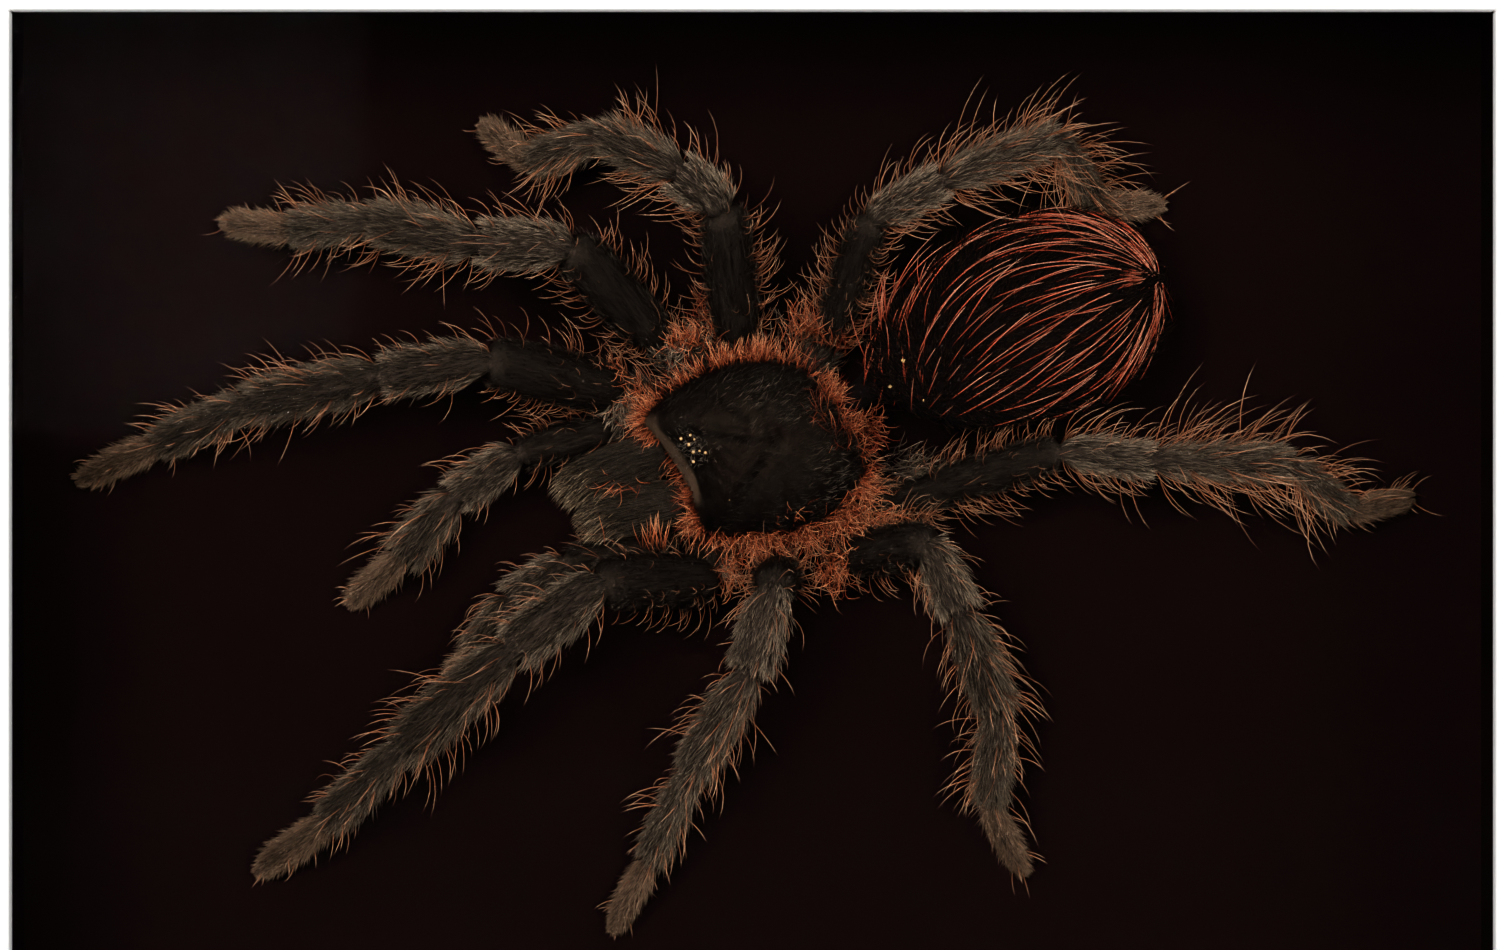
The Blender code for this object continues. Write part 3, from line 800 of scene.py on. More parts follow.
@dataclass
class Limb(Tube):
    """A leg or pedipalp: its skin, its close coat and its long hairs.

    Seta_gain lengthens the long hairs of each segment and seta_share is how many there are. Shag
    lifts the coat, and pale lightens it. Flanks and tops are turns in radians from the upper side,
    and a bend is the share of a hair's lift that is left at its tip.
    """

    node: str
    root: Triple
    trochanter: Triple
    root_width: float
    segments: tuple[Segment, ...]
    seed: int
    parts: tuple[Part, ...] = LEG_PARTS
    seta_gain: tuple[float, ...] = (1.0,) * 6
    seta_share: float = 1.0
    shag: float = 1.0
    pale: float = 0.0

    COXA_GAIN = 1.15
    TIP_DROP_MM = 1.0
    RINGS_PER_MM = 1.6
    KNEE_ROUNDING = 0.42
    KNEE_SHARE = 0.3
    # Widths along a segment, as places from 0 to 1 and shares of its whole width.
    SWELL = ((0.0, 0.56), (0.06, 0.82), (0.2, 0.97), (0.5, 1.02), (0.8, 1.0), (0.94, 0.9), (1.0, 0.6))
    TIP_SWELL = ((0.0, 0.72), (0.08, 0.9), (0.35, 0.98), (0.65, 0.88), (0.83, 0.68), (0.94, 0.46), (1.0, 0.2))
    COXA_SWELL = ((0.0, 0.95), (0.6, 1.0), (0.9, 0.95), (1.0, 0.8))
    # Where along a segment its coat turns short and pale, and where its bare joint skin starts.
    COLLAR, JOINT_FROM = 0.84, 0.965
    JOINT_PALE, THIGH_JOINT_PALE = 0.3, 0.04
    COAT_FLANK, SETA_FLANK = (1.5, 0.4), (1.35, 0.55)
    COAT_TOP = (-1.3, 1.3)
    FLANK_PART = 0.52
    SETA_SIZES, SETA_ODDS = (0.65, 1.15, 1.6), (0.3, 0.5, 0.2)
    COAT_WIDTH, SETA_WIDTH = (0.085, 0.13), (0.09, 0.145)
    COAT_SWAY, SETA_SWAY = 0.13, 0.14
    COAT_STRAY_DEG, SETA_STRAY_DEG = 7.0, 12.0
    COAT_BEND, SETA_BEND = 0.4, 0.22

    def trace(self) -> None:
        """Works out the limb's middle line, its radius and its frame at every ring."""
        joints = [np.array(self.root, dtype=float), np.array(self.trochanter, dtype=float)]
        for segment in self.segments:
            place = joints[-1][:2] + segment.reach * toward(segment.heading)
            joints.append(np.append(place, segment.rise_to))
        widths = [self.root_width * self.COXA_GAIN] + [segment.width for segment in self.segments]
        lengths = [np.linalg.norm(end - start) for start, end in zip(joints, joints[1:])]
        insets = [min(self.KNEE_ROUNDING * width / length, self.KNEE_SHARE)
                  for width, length in zip(widths, lengths)]
        last = len(widths) - 1
        rows = []
        for number, (start, end) in enumerate(zip(joints, joints[1:])):
            inset = insets[number]
            steps = max(6, round(lengths[number] * self.RINGS_PER_MM))
            swell = self.COXA_SWELL if number == 0 else self.TIP_SWELL if number == last else self.SWELL
            for step in range(steps + (number == last)):
                at = step / steps
                place = start + (end - start) * at
                if number > 0 and at < inset:
                    place = self.knee(joints, insets, number, 0.5 + 0.5 * at / inset)
                elif number < last and at > 1 - inset:
                    place = self.knee(joints, insets, number + 1, 0.5 * (at - 1 + inset) / inset)
                skin = COATS[self.parts[number]].skin * np.interp(at, *zip(*swell))
                rows.append((*place, widths[number] / 2 * skin, number, at))
        rows = np.array(rows)
        self.share = rows[:, 5]
        rows[:, 2] -= self.TIP_DROP_MM * self.share ** 1.5 * (rows[:, 4] == last)
        self.sweep(rows[:, :3], rows[:, 3], rows[:, 4].astype(int))

    def knee(self, joints: list[np.ndarray], insets: list[float], number: int, at: float) -> np.ndarray:
        """A point on the round bend at a joint.

        Args:
            joints: The limb's joints.
            insets: How far the bend reaches into each segment, as a share of it.
            number: The joint's number.
            at: The place on the bend, from 0 to 1.

        Returns:
            The point in plan.
        """
        middle = joints[number]
        before = middle + (joints[number - 1] - middle) * insets[number - 1]
        after = middle + (joints[number + 1] - middle) * insets[number]
        return before * (1 - at) ** 2 + middle * 2 * at * (1 - at) + after * at ** 2

    def spread(self, bed: HairBed, counts: list[float]) -> np.ndarray:
        """Random distances along the limb.

        Args:
            bed: The bed that draws them.
            counts: Hairs for each millimetre of each segment.

        Returns:
            The distances.
        """
        runs = []
        for number, count in enumerate(counts):
            inside = self.run[self.part == number]
            low, high = inside.min(), inside.max()
            runs.append(bed.draw.uniform(low, high, round(count * (high - low))))
        return np.concatenate(runs)

    def trait(self, name: str, part: np.ndarray) -> np.ndarray:
        """One value of the coats, by its name, for each of the segment numbers."""
        return np.array([getattr(COATS[kind], name) for kind in self.parts])[part]

    def grow_coat(self, bed: HairBed, kinds: tuple[Part, ...]) -> None:
        """Grows the close coat, longer and paler on the flanks and at the end of a segment.

        Args:
            bed: The bed that takes the hairs.
            kinds: The segments to grow it on.
        """
        run = self.spread(bed, [COATS[part].coat_count * (part in kinds) for part in self.parts])
        count = len(run)
        side = bed.draw.choice((-1.0, 1.0), count) * bed.draw.normal(*self.COAT_FLANK, count)
        turn = np.where(bed.draw.uniform(size=count) < self.FLANK_PART, side,
                        bed.draw.uniform(*self.COAT_TOP, count))
        root, out, ahead, part = self.roots_at(run, turn)
        share = np.interp(run, self.run, self.share)
        flank = np.sin(np.clip(np.abs(turn), 0.0, math.pi / 2)) ** 2
        ending = share > self.COLLAR
        foot = np.clip((share - 0.5) / 0.5, 0, 1) * (part == len(self.parts) - 1)
        length = bed.draw.uniform(*self.trait("coat_length", part).T)
        length *= (0.8 + 0.4 * flank - 0.35 * ending) * (1 - 0.4 * foot)
        lift = self.trait("coat_lift", part) * (0.7 + 0.8 * flank) * self.shag
        lift = np.radians(lift + bed.draw.normal(0.0, self.COAT_STRAY_DEG, count))
        sway = bed.draw.normal(0.0, self.COAT_SWAY, (count, 3))
        tone = self.trait("tone", part) + self.pale + (0.55 - 0.7 * self.pale) * (flank - 0.5) + 0.28 * ending
        end = leaning(out, ahead, lift * self.COAT_BEND) + sway * 1.6
        lines = bed.curve(root, leaning(out, ahead, lift) + sway, end, length)
        bed.add(lines, self.COAT_WIDTH, tones=(tone, 0.25))

    def grow_setae(self, bed: HairBed) -> None:
        """Grows the long standing hairs, most of them at the limb's two sides.

        Args:
            bed: The bed that takes the hairs.
        """
        run = self.spread(bed, [COATS[part].seta_count * self.seta_share for part in self.parts])
        count = len(run)
        flank = bed.draw.choice((-1.0, 1.0), count)
        root, out, ahead, part = self.roots_at(run, flank * np.abs(bed.draw.normal(*self.SETA_FLANK, count)))
        length = bed.draw.uniform(*self.trait("seta_length", part).T)
        length *= bed.draw.choice(self.SETA_SIZES, count, p=self.SETA_ODDS) * np.array(self.seta_gain)[part]
        lift = np.radians(self.trait("seta_lift", part) + bed.draw.normal(0.0, self.SETA_STRAY_DEG, count))
        sway = bed.draw.normal(0.0, self.SETA_SWAY, (count, 3))
        tone = self.trait("seta_tone", part) + bed.draw.normal(0.0, 0.2, count)
        end = leaning(out, ahead, lift * self.SETA_BEND) + sway * 2.0
        lines = bed.curve(root, leaning(out, ahead, lift) + sway, end, length, points=6)
        bed.add(lines, self.SETA_WIDTH, tone)

    def build(self, plan: Plan) -> None:
        """Makes the limb's pieces.

        Args:
            plan: The spider's plan.
        """
        self.trace()
        joint = (self.share > self.JOINT_FROM) & (self.part > 0) & (self.part < len(self.parts) - 1)
        pale = joint * np.where(self.part == 1, self.THIGH_JOINT_PALE, self.JOINT_PALE)
        skin = self.skin(plan, f"{self.node}_skin", self.trait("shade", self.part), pale)
        place_piece(skin, LIMB_SKIN, self.node)
        for number, (kind, finish, parts) in enumerate(GROWTHS):
            bed = HairBed(plan, f"{self.node}_{kind}", finish, self.seed * 10 + number)
            self.grow_coat(bed, parts)
            bed.finish_piece()
        bed = HairBed(plan, f"{self.node}_long_hairs", SETA_HAIR, self.seed * 10 + 9)
        self.grow_setae(bed)
        bed.finish_piece()


LIMBS = (
    Limb("leg_right_1", (-7.4, 3.6, 4.2), (-15.8, 6.7, 4.7), 3.4, (
        Segment(16.3, 167, 15.0, 6.6), Segment(12.6, 188, 16.5, 5.0), Segment(16.4, 192, 11.0, 5.0),
        Segment(12.2, 203, 5.0, 4.0), Segment(10.4, 204, 2.3, 3.3)), 11, seta_share=0.7, pale=-0.28),
    Limb("leg_right_2", (-4.2, 5.6, 4.2), (-11.6, 12.6, 4.7), 3.4, (
        Segment(15.2, 133, 15.0, 6.4), Segment(10.9, 178, 17.0, 5.4), Segment(13.1, 168, 12.0, 5.2),
        Segment(9.6, 185, 6.0, 4.4), Segment(8.5, 174, 2.3, 3.4)), 12,
        seta_gain=(1.0, 1.1, 1.2, 1.2, 1.2, 1.2), seta_share=0.8, shag=0.9, pale=0.05),
    Limb("leg_right_3", (-0.6, 7.0, 4.2), (-2.5, 12.8, 4.7), 3.4, (
        Segment(15.4, 96, 16.0, 6.2), Segment(6.7, 140, 19.0, 5.2), Segment(10.0, 153, 13.0, 4.6),
        Segment(9.3, 199, 6.0, 4.2), Segment(7.6, 142, 2.3, 3.2)), 13,
        seta_gain=(1.0, 1.1, 1.25, 1.25, 1.25, 1.2), shag=0.9, pale=0.12),
    Limb("leg_right_4", (3.2, 6.7, 4.2), (8.3, 12.6, 4.7), 3.4, (
        Segment(15.0, 71, 16.0, 4.8), Segment(9.3, 29, 19.0, 4.4), Segment(14.5, 21, 16.0, 4.2),
        Segment(9.3, 304, 5.0, 3.8), Segment(8.0, 1, 2.3, 3.2)), 14,
        seta_gain=(1.0, 1.0, 1.15, 1.35, 1.9, 1.2), seta_share=1.4, shag=0.6, pale=0.22),
    Limb("leg_left_1", (-4.6, -6.3, 4.2), (-5.6, -15.8, 4.9), 3.4, (
        Segment(12.8, 180, 16.5, 7.0), Segment(13.2, 217, 18.5, 5.9), Segment(17.7, 222, 12.0, 5.6),
        Segment(12.6, 224, 6.0, 4.4), Segment(10.5, 216, 2.3, 3.6)), 15,
        seta_gain=(1.0, 1.0, 1.1, 1.1, 1.0, 1.0), seta_share=0.7, pale=-0.15),
    Limb("leg_left_2", (-0.3, -7.1, 4.2), (2.6, -15.0, 4.6), 3.4, (
        Segment(1.2, 240, 17.0, 5.8), Segment(10.6, 254, 17.5, 5.6), Segment(14.0, 240, 11.0, 5.0),
        Segment(11.7, 245, 5.0, 4.2), Segment(9.6, 242, 2.3, 3.4)), 16, seta_share=0.8, shag=0.85, pale=0.22),
    Limb("leg_left_3", (3.7, -6.0, 4.2), (10.9, -12.8, 4.7), 3.4, (
        Segment(9.3, 10, 16.0, 6.0), Segment(8.8, 295, 18.0, 5.0), Segment(12.4, 291, 12.0, 5.0),
        Segment(11.4, 266, 6.0, 4.2), Segment(9.4, 296, 2.3, 3.2)), 17,
        seta_gain=(1.0, 1.0, 1.1, 1.1, 1.2, 1.2), shag=0.8, pale=0.12),
    Limb("leg_left_4", (7.8, -3.7, 4.2), (15.8, -6.4, 4.7), 3.4, (
        Segment(20.6, 17, 14.0, 5.0), Segment(10.8, 354, 15.5, 4.2), Segment(16.4, 359, 10.5, 4.2),
        Segment(9.3, 322, 5.0, 3.6), Segment(7.9, 12, 2.3, 3.2)), 18,
        seta_gain=(1.0, 1.0, 1.25, 1.45, 1.5, 1.3), seta_share=1.4, shag=0.6, pale=0.2),
    Limb("pedipalp_right", (-8.0, -0.2, 3.4), (-17.3, 2.4, 3.6), 2.6, (
        Segment(11.4, 195, 8.0, 4.4), Segment(9.0, 214, 8.5, 4.4), Segment(9.7, 228, 5.5, 4.4),
        Segment(8.6, 222, 2.3, 3.2)), 19, PALP_PARTS, seta_share=0.65),
    Limb("pedipalp_left", (-6.6, -4.6, 3.0), (-12.4, -11.4, 3.0), 2.6, (
        Segment(10.6, 192, 4.8, 4.0), Segment(7.8, 214, 5.5, 4.2), Segment(7.1, 237, 4.0, 4.0),
        Segment(4.8, 226, 2.3, 3.2)), 20, PALP_PARTS, seta_share=0.65),
)


@dataclass(frozen=True)
class Tress:
    """A stretch of the fringe round the carapace.

    It runs between two angles round the middle. Inset is how far inside the rim its roots reach, lean is
    the turn of its hairs from straight out, with spread round that, and curl is the size of their kinks.
    """

    angles: Pair
    count: int
    length: Pair
    inset: Pair
    lift: float
    lean: float
    spread: float
    curl: float
    tone: float


FRINGE = (
    Tress((58, 150), 500, (1.0, 3.8), (-0.6, 0.3), 16, 0, 21, 0.12, 0.50),
    Tress((30, 58), 190, (1.4, 3.4), (-0.6, 0.5), 18, 0, 30, 0.18, 0.30),
    Tress((-2, 30), 110, (1.4, 3.2), (-0.6, 0.7), 18, 10, 45, 0.25, 0.15),
    Tress((2, 46), 80, (2.0, 4.0), (0.0, 2.4), 24, 110, 55, 0.30, 0.05),
    Tress((-22, -2), 130, (1.4, 3.2), (-0.6, 0.4), 18, 0, 30, 0.25, 0.40),
    Tress((-62, -22), 270, (1.6, 5.0), (-0.8, 0.4), 28, 0, 50, 0.60, 0.50),
    Tress((-112, -62), 260, (1.4, 4.6), (-0.8, 0.3), 28, 0, 46, 0.60, 0.45),
    Tress((-75, -40), 34, (2.4, 4.2), (0.2, 1.4), 40, 180, 25, 0.35, 0.60),
    Tress((-150, -112), 240, (1.4, 3.8), (-0.6, 0.3), 20, 0, 25, 0.20, 0.50),
    Tress((165, 215), 230, (1.4, 3.4), (-0.5, 0.2), 6, 8, 16, 0.12, 0.40),
    Tress((148, 168), 150, (1.2, 3.2), (-0.6, 0.3), 18, 0, 24, 0.14, 0.60),
)


@dataclass
class Carapace:
    """The carapace: a low dome with a raised head, a pit and shallow grooves, and the fringe round it."""

    plan: Plan
    steps: int = 7
    rim_share: float = 1.02
    dome_rings: int = 40
    pit_ahead: float = -2.4
    pit_depth: float = 0.6
    pit_half: Pair = (0.7, 1.5)
    groove_half: float = 0.7
    head_rise: float = 0.4
    eye_mound: Pair = (-7.7, 0.1)
    mound_half: Pair = (1.35, 2.1)
    ripple: float = 0.04
    bare_round_eyes: float = 2.0
    down_span: Pair = (-13.5, 13.5)
    down_count: int = 4200
    down_share: float = 0.97
    down_reach: Pair = (0.7, 1.4)
    down_width: Pair = (0.09, 0.14)
    eye_hair_count: int = 170
    eye_hair_reach: Pair = (0.4, 0.9)
    eye_hair_width: float = 0.1
    fringe_width: Pair = (0.08, 0.13)
    # The share of fringe hairs drawn near black, as painted shade in the fringe's depth.
    painted_shade_part: float = 0.45

    # Where the front's pale band starts and how it fades in: by the share of the way to the rim, by how
    # far a place faces forward, and by its place aside.
    BAND = ((0.87, 0.05), (0.68, 0.14), (-2.8, 1.4))
    # Waves that bunch the fringe: their rate along the rim, their start and their size.
    BUNCHES = ((0.83, 0.0, 1.0), (0.31, 1.0, 1.0), (2.1, 0.0, 0.5))
    # Shares of the way to the rim, and the heights there.
    UNDERSIDE = ((0.38, 0.35), (0.48, 1.2), (0.50, 6.2), (0.58, 7.1), (0.96, 7.7))
    DOME = ((0.0, 14.2), (0.16, 14.15), (0.3, 14.0), (0.45, 13.7), (0.6, 13.2), (0.74, 12.5), (0.85, 11.7),
            (0.93, 10.8), (0.98, 9.8), (1.01, 9.0), (1.02, 8.3))
    # Headings from the front in degrees, and depths.
    GROOVES = ((36, 0.35), (66, 0.22), (98, 0.22), (134, 0.2))
    # Places ahead and aside of the mound's middle, and radii.
    EYES = ((0.75, 1.55, 0.33), (0.75, -1.5, 0.33), (0.25, 0.52, 0.36), (0.2, -0.5, 0.36), (-0.4, 1.4, 0.3),
            (-1.0, -1.25, 0.3), (-0.6, 0.75, 0.25), (-0.5, -0.75, 0.25))
    # Middles across and up, and half sizes.
    PALE_PATCHES = ((-1.0, 6.2, 5.5, 2.2), (-1.5, 1.9, 2.0, 0.9), (7.9, -2.6, 2.6, 3.6), (4.0, 3.6, 2.5, 1.2))

    def __post_init__(self) -> None:
        """Works out the rim, a smooth curve through the outline's points, and the directions."""
        points = np.array(CARAPACE_OUTLINE_MM)
        before, after, beyond = (np.roll(points, shift, axis=0) for shift in (1, -1, -2))
        curve = [0.5 * (2 * points + (after - before) * at
                        + (2 * before - 5 * points + 4 * after - beyond) * at ** 2
                        + (3 * points - before - 3 * after + beyond) * at ** 3)
                 for at in np.arange(self.steps) / self.steps]
        self.rim = np.stack(curve, axis=1).reshape(-1, 2)
        self.forward = toward(FRONT_HEADING_DEG)
        self.lateral = toward(FRONT_HEADING_DEG - 90)
        turns = np.arctan2(self.rim[:, 1], self.rim[:, 0])
        order = np.argsort(turns)
        self.turns, self.reach = turns[order], np.hypot(*self.rim.T)[order]

    def share_out(self, places: np.ndarray) -> np.ndarray:
        """How far plan places lie from the middle, as a share of the rim's distance."""
        turn = np.arctan2(places[:, 1], places[:, 0])
        return np.hypot(*places.T) / np.interp(turn, self.turns, self.reach, period=math.tau)

    def height(self, places: np.ndarray, share: np.ndarray | None = None) -> np.ndarray:
        """The upper surface's height.

        Args:
            places: Rows of across and up.
            share: Each place's share of the way to the rim, where it is known.

        Returns:
            The heights.
        """
        share = self.share_out(places) if share is None else share
        ahead, aside = places @ self.forward - self.pit_ahead, places @ self.lateral
        reach = np.hypot(ahead, aside)
        turn = np.degrees(np.arctan2(np.abs(aside), ahead))
        (long, wide), (deep, broad) = self.pit_half, self.mound_half
        relief = -self.pit_depth * np.exp(-(ahead / long) ** 2 - (aside / wide) ** 2)
        relief += self.head_rise * np.clip((34 - turn) / 14, 0, 1) * np.clip(ahead / 4, 0, 1)
        for groove, depth in self.GROOVES:
            across = reach * np.sin(np.radians(np.clip(turn - groove, -90, 90)))
            relief -= depth * np.exp(-(across / self.groove_half) ** 2) * np.clip((reach - 1.2) / 2.5, 0, 1)
        mound = places - np.array(self.eye_mound)
        relief += np.exp(-(mound @ self.forward / deep) ** 4 - (mound @ self.lateral / broad) ** 4)
        relief += self.ripple * np.sin(places[:, 0] * 2.9) * np.sin(places[:, 1] * 3.3)
        return np.interp(share, *zip(*self.DOME)) + relief * np.clip((1 - share) / 0.14, 0, 1)

    def shell(self) -> bpy.types.Mesh:
        """The shell, closed below.

        Returns:
            The mesh, whose shade attribute is 1 on the paler band along the front edge.
        """
        rings = [raised(self.rim * scale, height) for scale, height in self.UNDERSIDE]
        for share in self.rim_share * (1 - np.linspace(0, 1, self.dome_rings) ** 1.35) + 0.015:
            places = self.rim * share
            rings.append(raised(places, self.height(places, np.full(len(places), share))))
        places = np.concatenate(rings)[:, :2] + 1e-6
        traits = (self.share_out(places), unit(places) @ self.forward, places @ self.lateral)
        band = np.prod([np.clip((trait - start) / fade, 0, 1)
                        for trait, (start, fade) in zip(traits, self.BAND)], axis=0)
        return give_values(ringed_mesh("cephalothorax_shell", rings, self.plan), shade=band)

    def add_eyes(self) -> None:
        """Sets the eight eyes on their mound, each painted pale where it faces the front, as a painted glint.
        """
        shape = bmesh.new()
        for ahead, aside, radius in self.EYES:
            place = np.array([self.eye_mound]) + self.forward * ahead + self.lateral * aside
            made = bmesh.ops.create_uvsphere(shape, u_segments=20, v_segments=12, radius=radius * MM)["verts"]
            spot = self.plan.place(raised(place, self.height(place) + radius * 0.35))[0]
            bmesh.ops.translate(shape, vec=Vector(spot), verts=made)
        shape.normal_update()
        # Painted glint: the shade attribute is 1 where a lens faces the glass and the lamps, which turns its
        # colour pale there.
        facing = np.array([-vert.normal.y for vert in shape.verts])
        place_piece(give_values(take_mesh(shape, "eyes"), shade=np.clip((facing - 0.5) * 2.5, 0, 1)), EYE)

    def grow_down(self) -> None:
        """Grows the short hairs that lie on the shell, paler in a few patches and round the eyes."""
        bed = HairBed(self.plan, "carapace_down", SHELL_HAIR, 41)
        places = bed.draw.uniform(*self.down_span, (self.down_count, 2))
        clear = np.hypot(*(places - np.array(self.eye_mound)).T) > self.bare_round_eyes
        places = places[(self.share_out(places) < self.down_share) & clear]
        outward = unit(unit(places) * 0.15 + bed.draw.normal(0, 0.3, places.shape) - self.forward)
        lift = np.abs(bed.draw.normal(0.1, 0.12, len(places)))
        tone = bed.draw.uniform(0.0, 0.14, len(places))
        for across, up, wide, tall in self.PALE_PATCHES:
            near = np.hypot((places[:, 0] - across) / wide, (places[:, 1] - up) / tall) < 1
            tone += np.where(near, np.clip(bed.draw.uniform(-1.6, 0.9, len(places)), 0, 1), 0)
        lines = bed.curve(raised(places, self.height(places)), raised(outward, lift),
                          raised(outward, -lift - 0.1), self.down_reach)
        bed.add(lines, self.down_width, tone)
        count = self.eye_hair_count
        places = np.array(self.eye_mound) + bed.draw.normal(0, 1.2, (count, 2))
        start = raised(bed.draw.normal(0, 0.6, (count, 2)) + self.forward * 0.5, 0.5)
        lines = bed.curve(raised(places, self.height(places)), start, start, self.eye_hair_reach)
        bed.add(lines, np.full(count, self.eye_hair_width), bed.draw.uniform(0.3, 0.9, count))
        bed.finish_piece()

    def grow_fringe(self) -> None:
        """Grows the orange-red fringe that hangs over the rim, in bunches, with a share of its hairs darkened
        as painted shade.
        """
        bed = HairBed(self.plan, "carapace_fringe", FRINGE_HAIR, 42)
        edge = np.roll(self.rim, -1, axis=0) - np.roll(self.rim, 1, axis=0)
        normals = unit(np.column_stack((edge[:, 1], -edge[:, 0])))
        normals *= np.sign((normals * self.rim).sum(axis=1))[:, None]
        turns = np.degrees(np.arctan2(self.rim[:, 1], self.rim[:, 0]))
        for tress in FRINGE:
            count, (low, high) = tress.count, tress.angles
            inside = np.flatnonzero((turns - low) % 360 <= high - low)
            beats = sum(size * np.sin(inside * rate + phase) for rate, phase, size in self.BUNCHES)
            thick = 0.25 + np.clip(beats, 0, 3)
            chosen = bed.draw.choice(inside, count, p=thick / thick.sum())
            blend = bed.draw.uniform(0, 1, (count, 1))
            inset = bed.draw.uniform(*tress.inset, count)
            normal = normals[chosen]
            places = self.rim[chosen] * (1 - blend) + self.rim[(chosen + 1) % len(self.rim)] * blend
            places = places - normal * inset[:, None]
            share = np.minimum(self.share_out(places), self.rim_share)
            height = self.height(places, share) - np.clip(0.3 - inset, 0, 1)
            bend = np.radians(tress.lean + bed.draw.normal(0, tress.spread, count))[:, None]
            heading = normal * np.cos(bend) + np.column_stack((-normal[:, 1], normal[:, 0])) * np.sin(bend)
            lift = np.tan(np.radians(tress.lift + bed.draw.normal(0, 14, count)))
            end = raised(heading + bed.draw.normal(0, 0.25, heading.shape), lift * 0.2 - 0.2)
            short, long = tress.length
            reach = short + (long - short) * bed.draw.uniform(0, 1, count) ** 1.7
            lines = bed.curve(raised(places, height), raised(heading, lift), end, reach, 6, tress.curl)
            # Painted shade: these hairs are drawn near black and stand in for the shade between the bright
            # hairs of the fringe.
            dark = bed.draw.uniform(size=count) < self.painted_shade_part
            tone = np.where(dark, tress.tone - 0.6, tress.tone + 0.3)
            bed.add(lines, self.fringe_width, tones=(tone, 0.2))
        bed.finish_piece()

    def build(self) -> None:
        """Makes the carapace's pieces."""
        place_piece(self.shell(), BLACK_SHELL, "cephalothorax")
        self.add_eyes()
        self.grow_down()
        self.grow_fringe()


@dataclass
class Chelicera(Tube):
    """A jaw: a stout tapered body with hairs combed along it and a pale brush at its end."""

    node: str
    base: Triple
    tip: Triple
    seed: int
    widths: Pair = (5.7, 4.5)
    bulge: float = 0.7
    hidden: float = 0.22
    shade: float = 0.07
    coat: Stand = Stand(1400, (1.6, 2.8), (0.08, 0.12), (0.45, 0.3))
    brush: Stand = Stand(230, (1.8, 3.4), (0.08, 0.125), (0.35, 0.35))
    brush_sag: Triple = (0.0, -0.6, -0.4)

    SWELL = ((0.0, 0.8), (0.12, 0.98), (0.45, 1.05), (0.75, 1.0), (0.9, 0.84), (0.97, 0.6), (1.0, 0.3))

    def trace(self) -> None:
        """Works out the rings."""
        share = np.linspace(0, 1, 22)
        base, tip = np.array(self.base), np.array(self.tip)
        base = base - (tip - base) * self.hidden
        centre = base + (tip - base) * share[:, None]
        centre[:, 2] += self.bulge * np.sin(math.pi * share)
        radius = np.interp(share, (0, 1), self.widths) / 2 * np.interp(share, *zip(*self.SWELL))
        self.sweep(centre, radius, np.zeros(len(share), dtype=int))

    def build(self, plan: Plan) -> None:
        """Makes the jaw's pieces.

        Args:
            plan: The spider's plan.
        """
        self.trace()
        plain = np.full(len(self.run), self.shade)
        place_piece(self.skin(plan, f"{self.node}_skin", plain, plain * 0), LIMB_SKIN, self.node)
        bed, count = HairBed(plan, f"{self.node}_coat", THIGH_HAIR, self.seed), self.coat.count
        turn = bed.draw.normal(0, 1.2, count)
        root, out, ahead, _ = self.roots_at(bed.draw.uniform(0, self.run[-1] * 0.93, count), turn)
        lift = np.abs(bed.draw.normal(0.12, 0.06, count))[:, None]
        sway = bed.draw.normal(0, 0.07, (count, 3))
        lines = bed.curve(root, ahead + out * lift + sway, ahead - out * lift * 0.2 + sway, self.coat.reach)
        bed.add(lines, self.coat.width, self.coat.tone)
        bed.finish_piece()
        bed, count = HairBed(plan, f"{self.node}_brush", BRUSH_HAIR, self.seed + 100), self.brush.count
        turn = bed.draw.normal(0, 1.6, count)
        run = (0.55 + 0.44 * bed.draw.uniform(0, 1, count) ** 0.5) * self.run[-1]
        root, out, ahead, _ = self.roots_at(run, turn)
        start = ahead + out * 0.3 + bed.draw.normal(0, 0.14, (count, 3))
        lines = bed.curve(root, start, ahead * 0.6 + np.array(self.brush_sag), self.brush.reach, points=5)
        bed.add(lines, self.brush.width, self.brush.tone)
        bed.finish_piece()


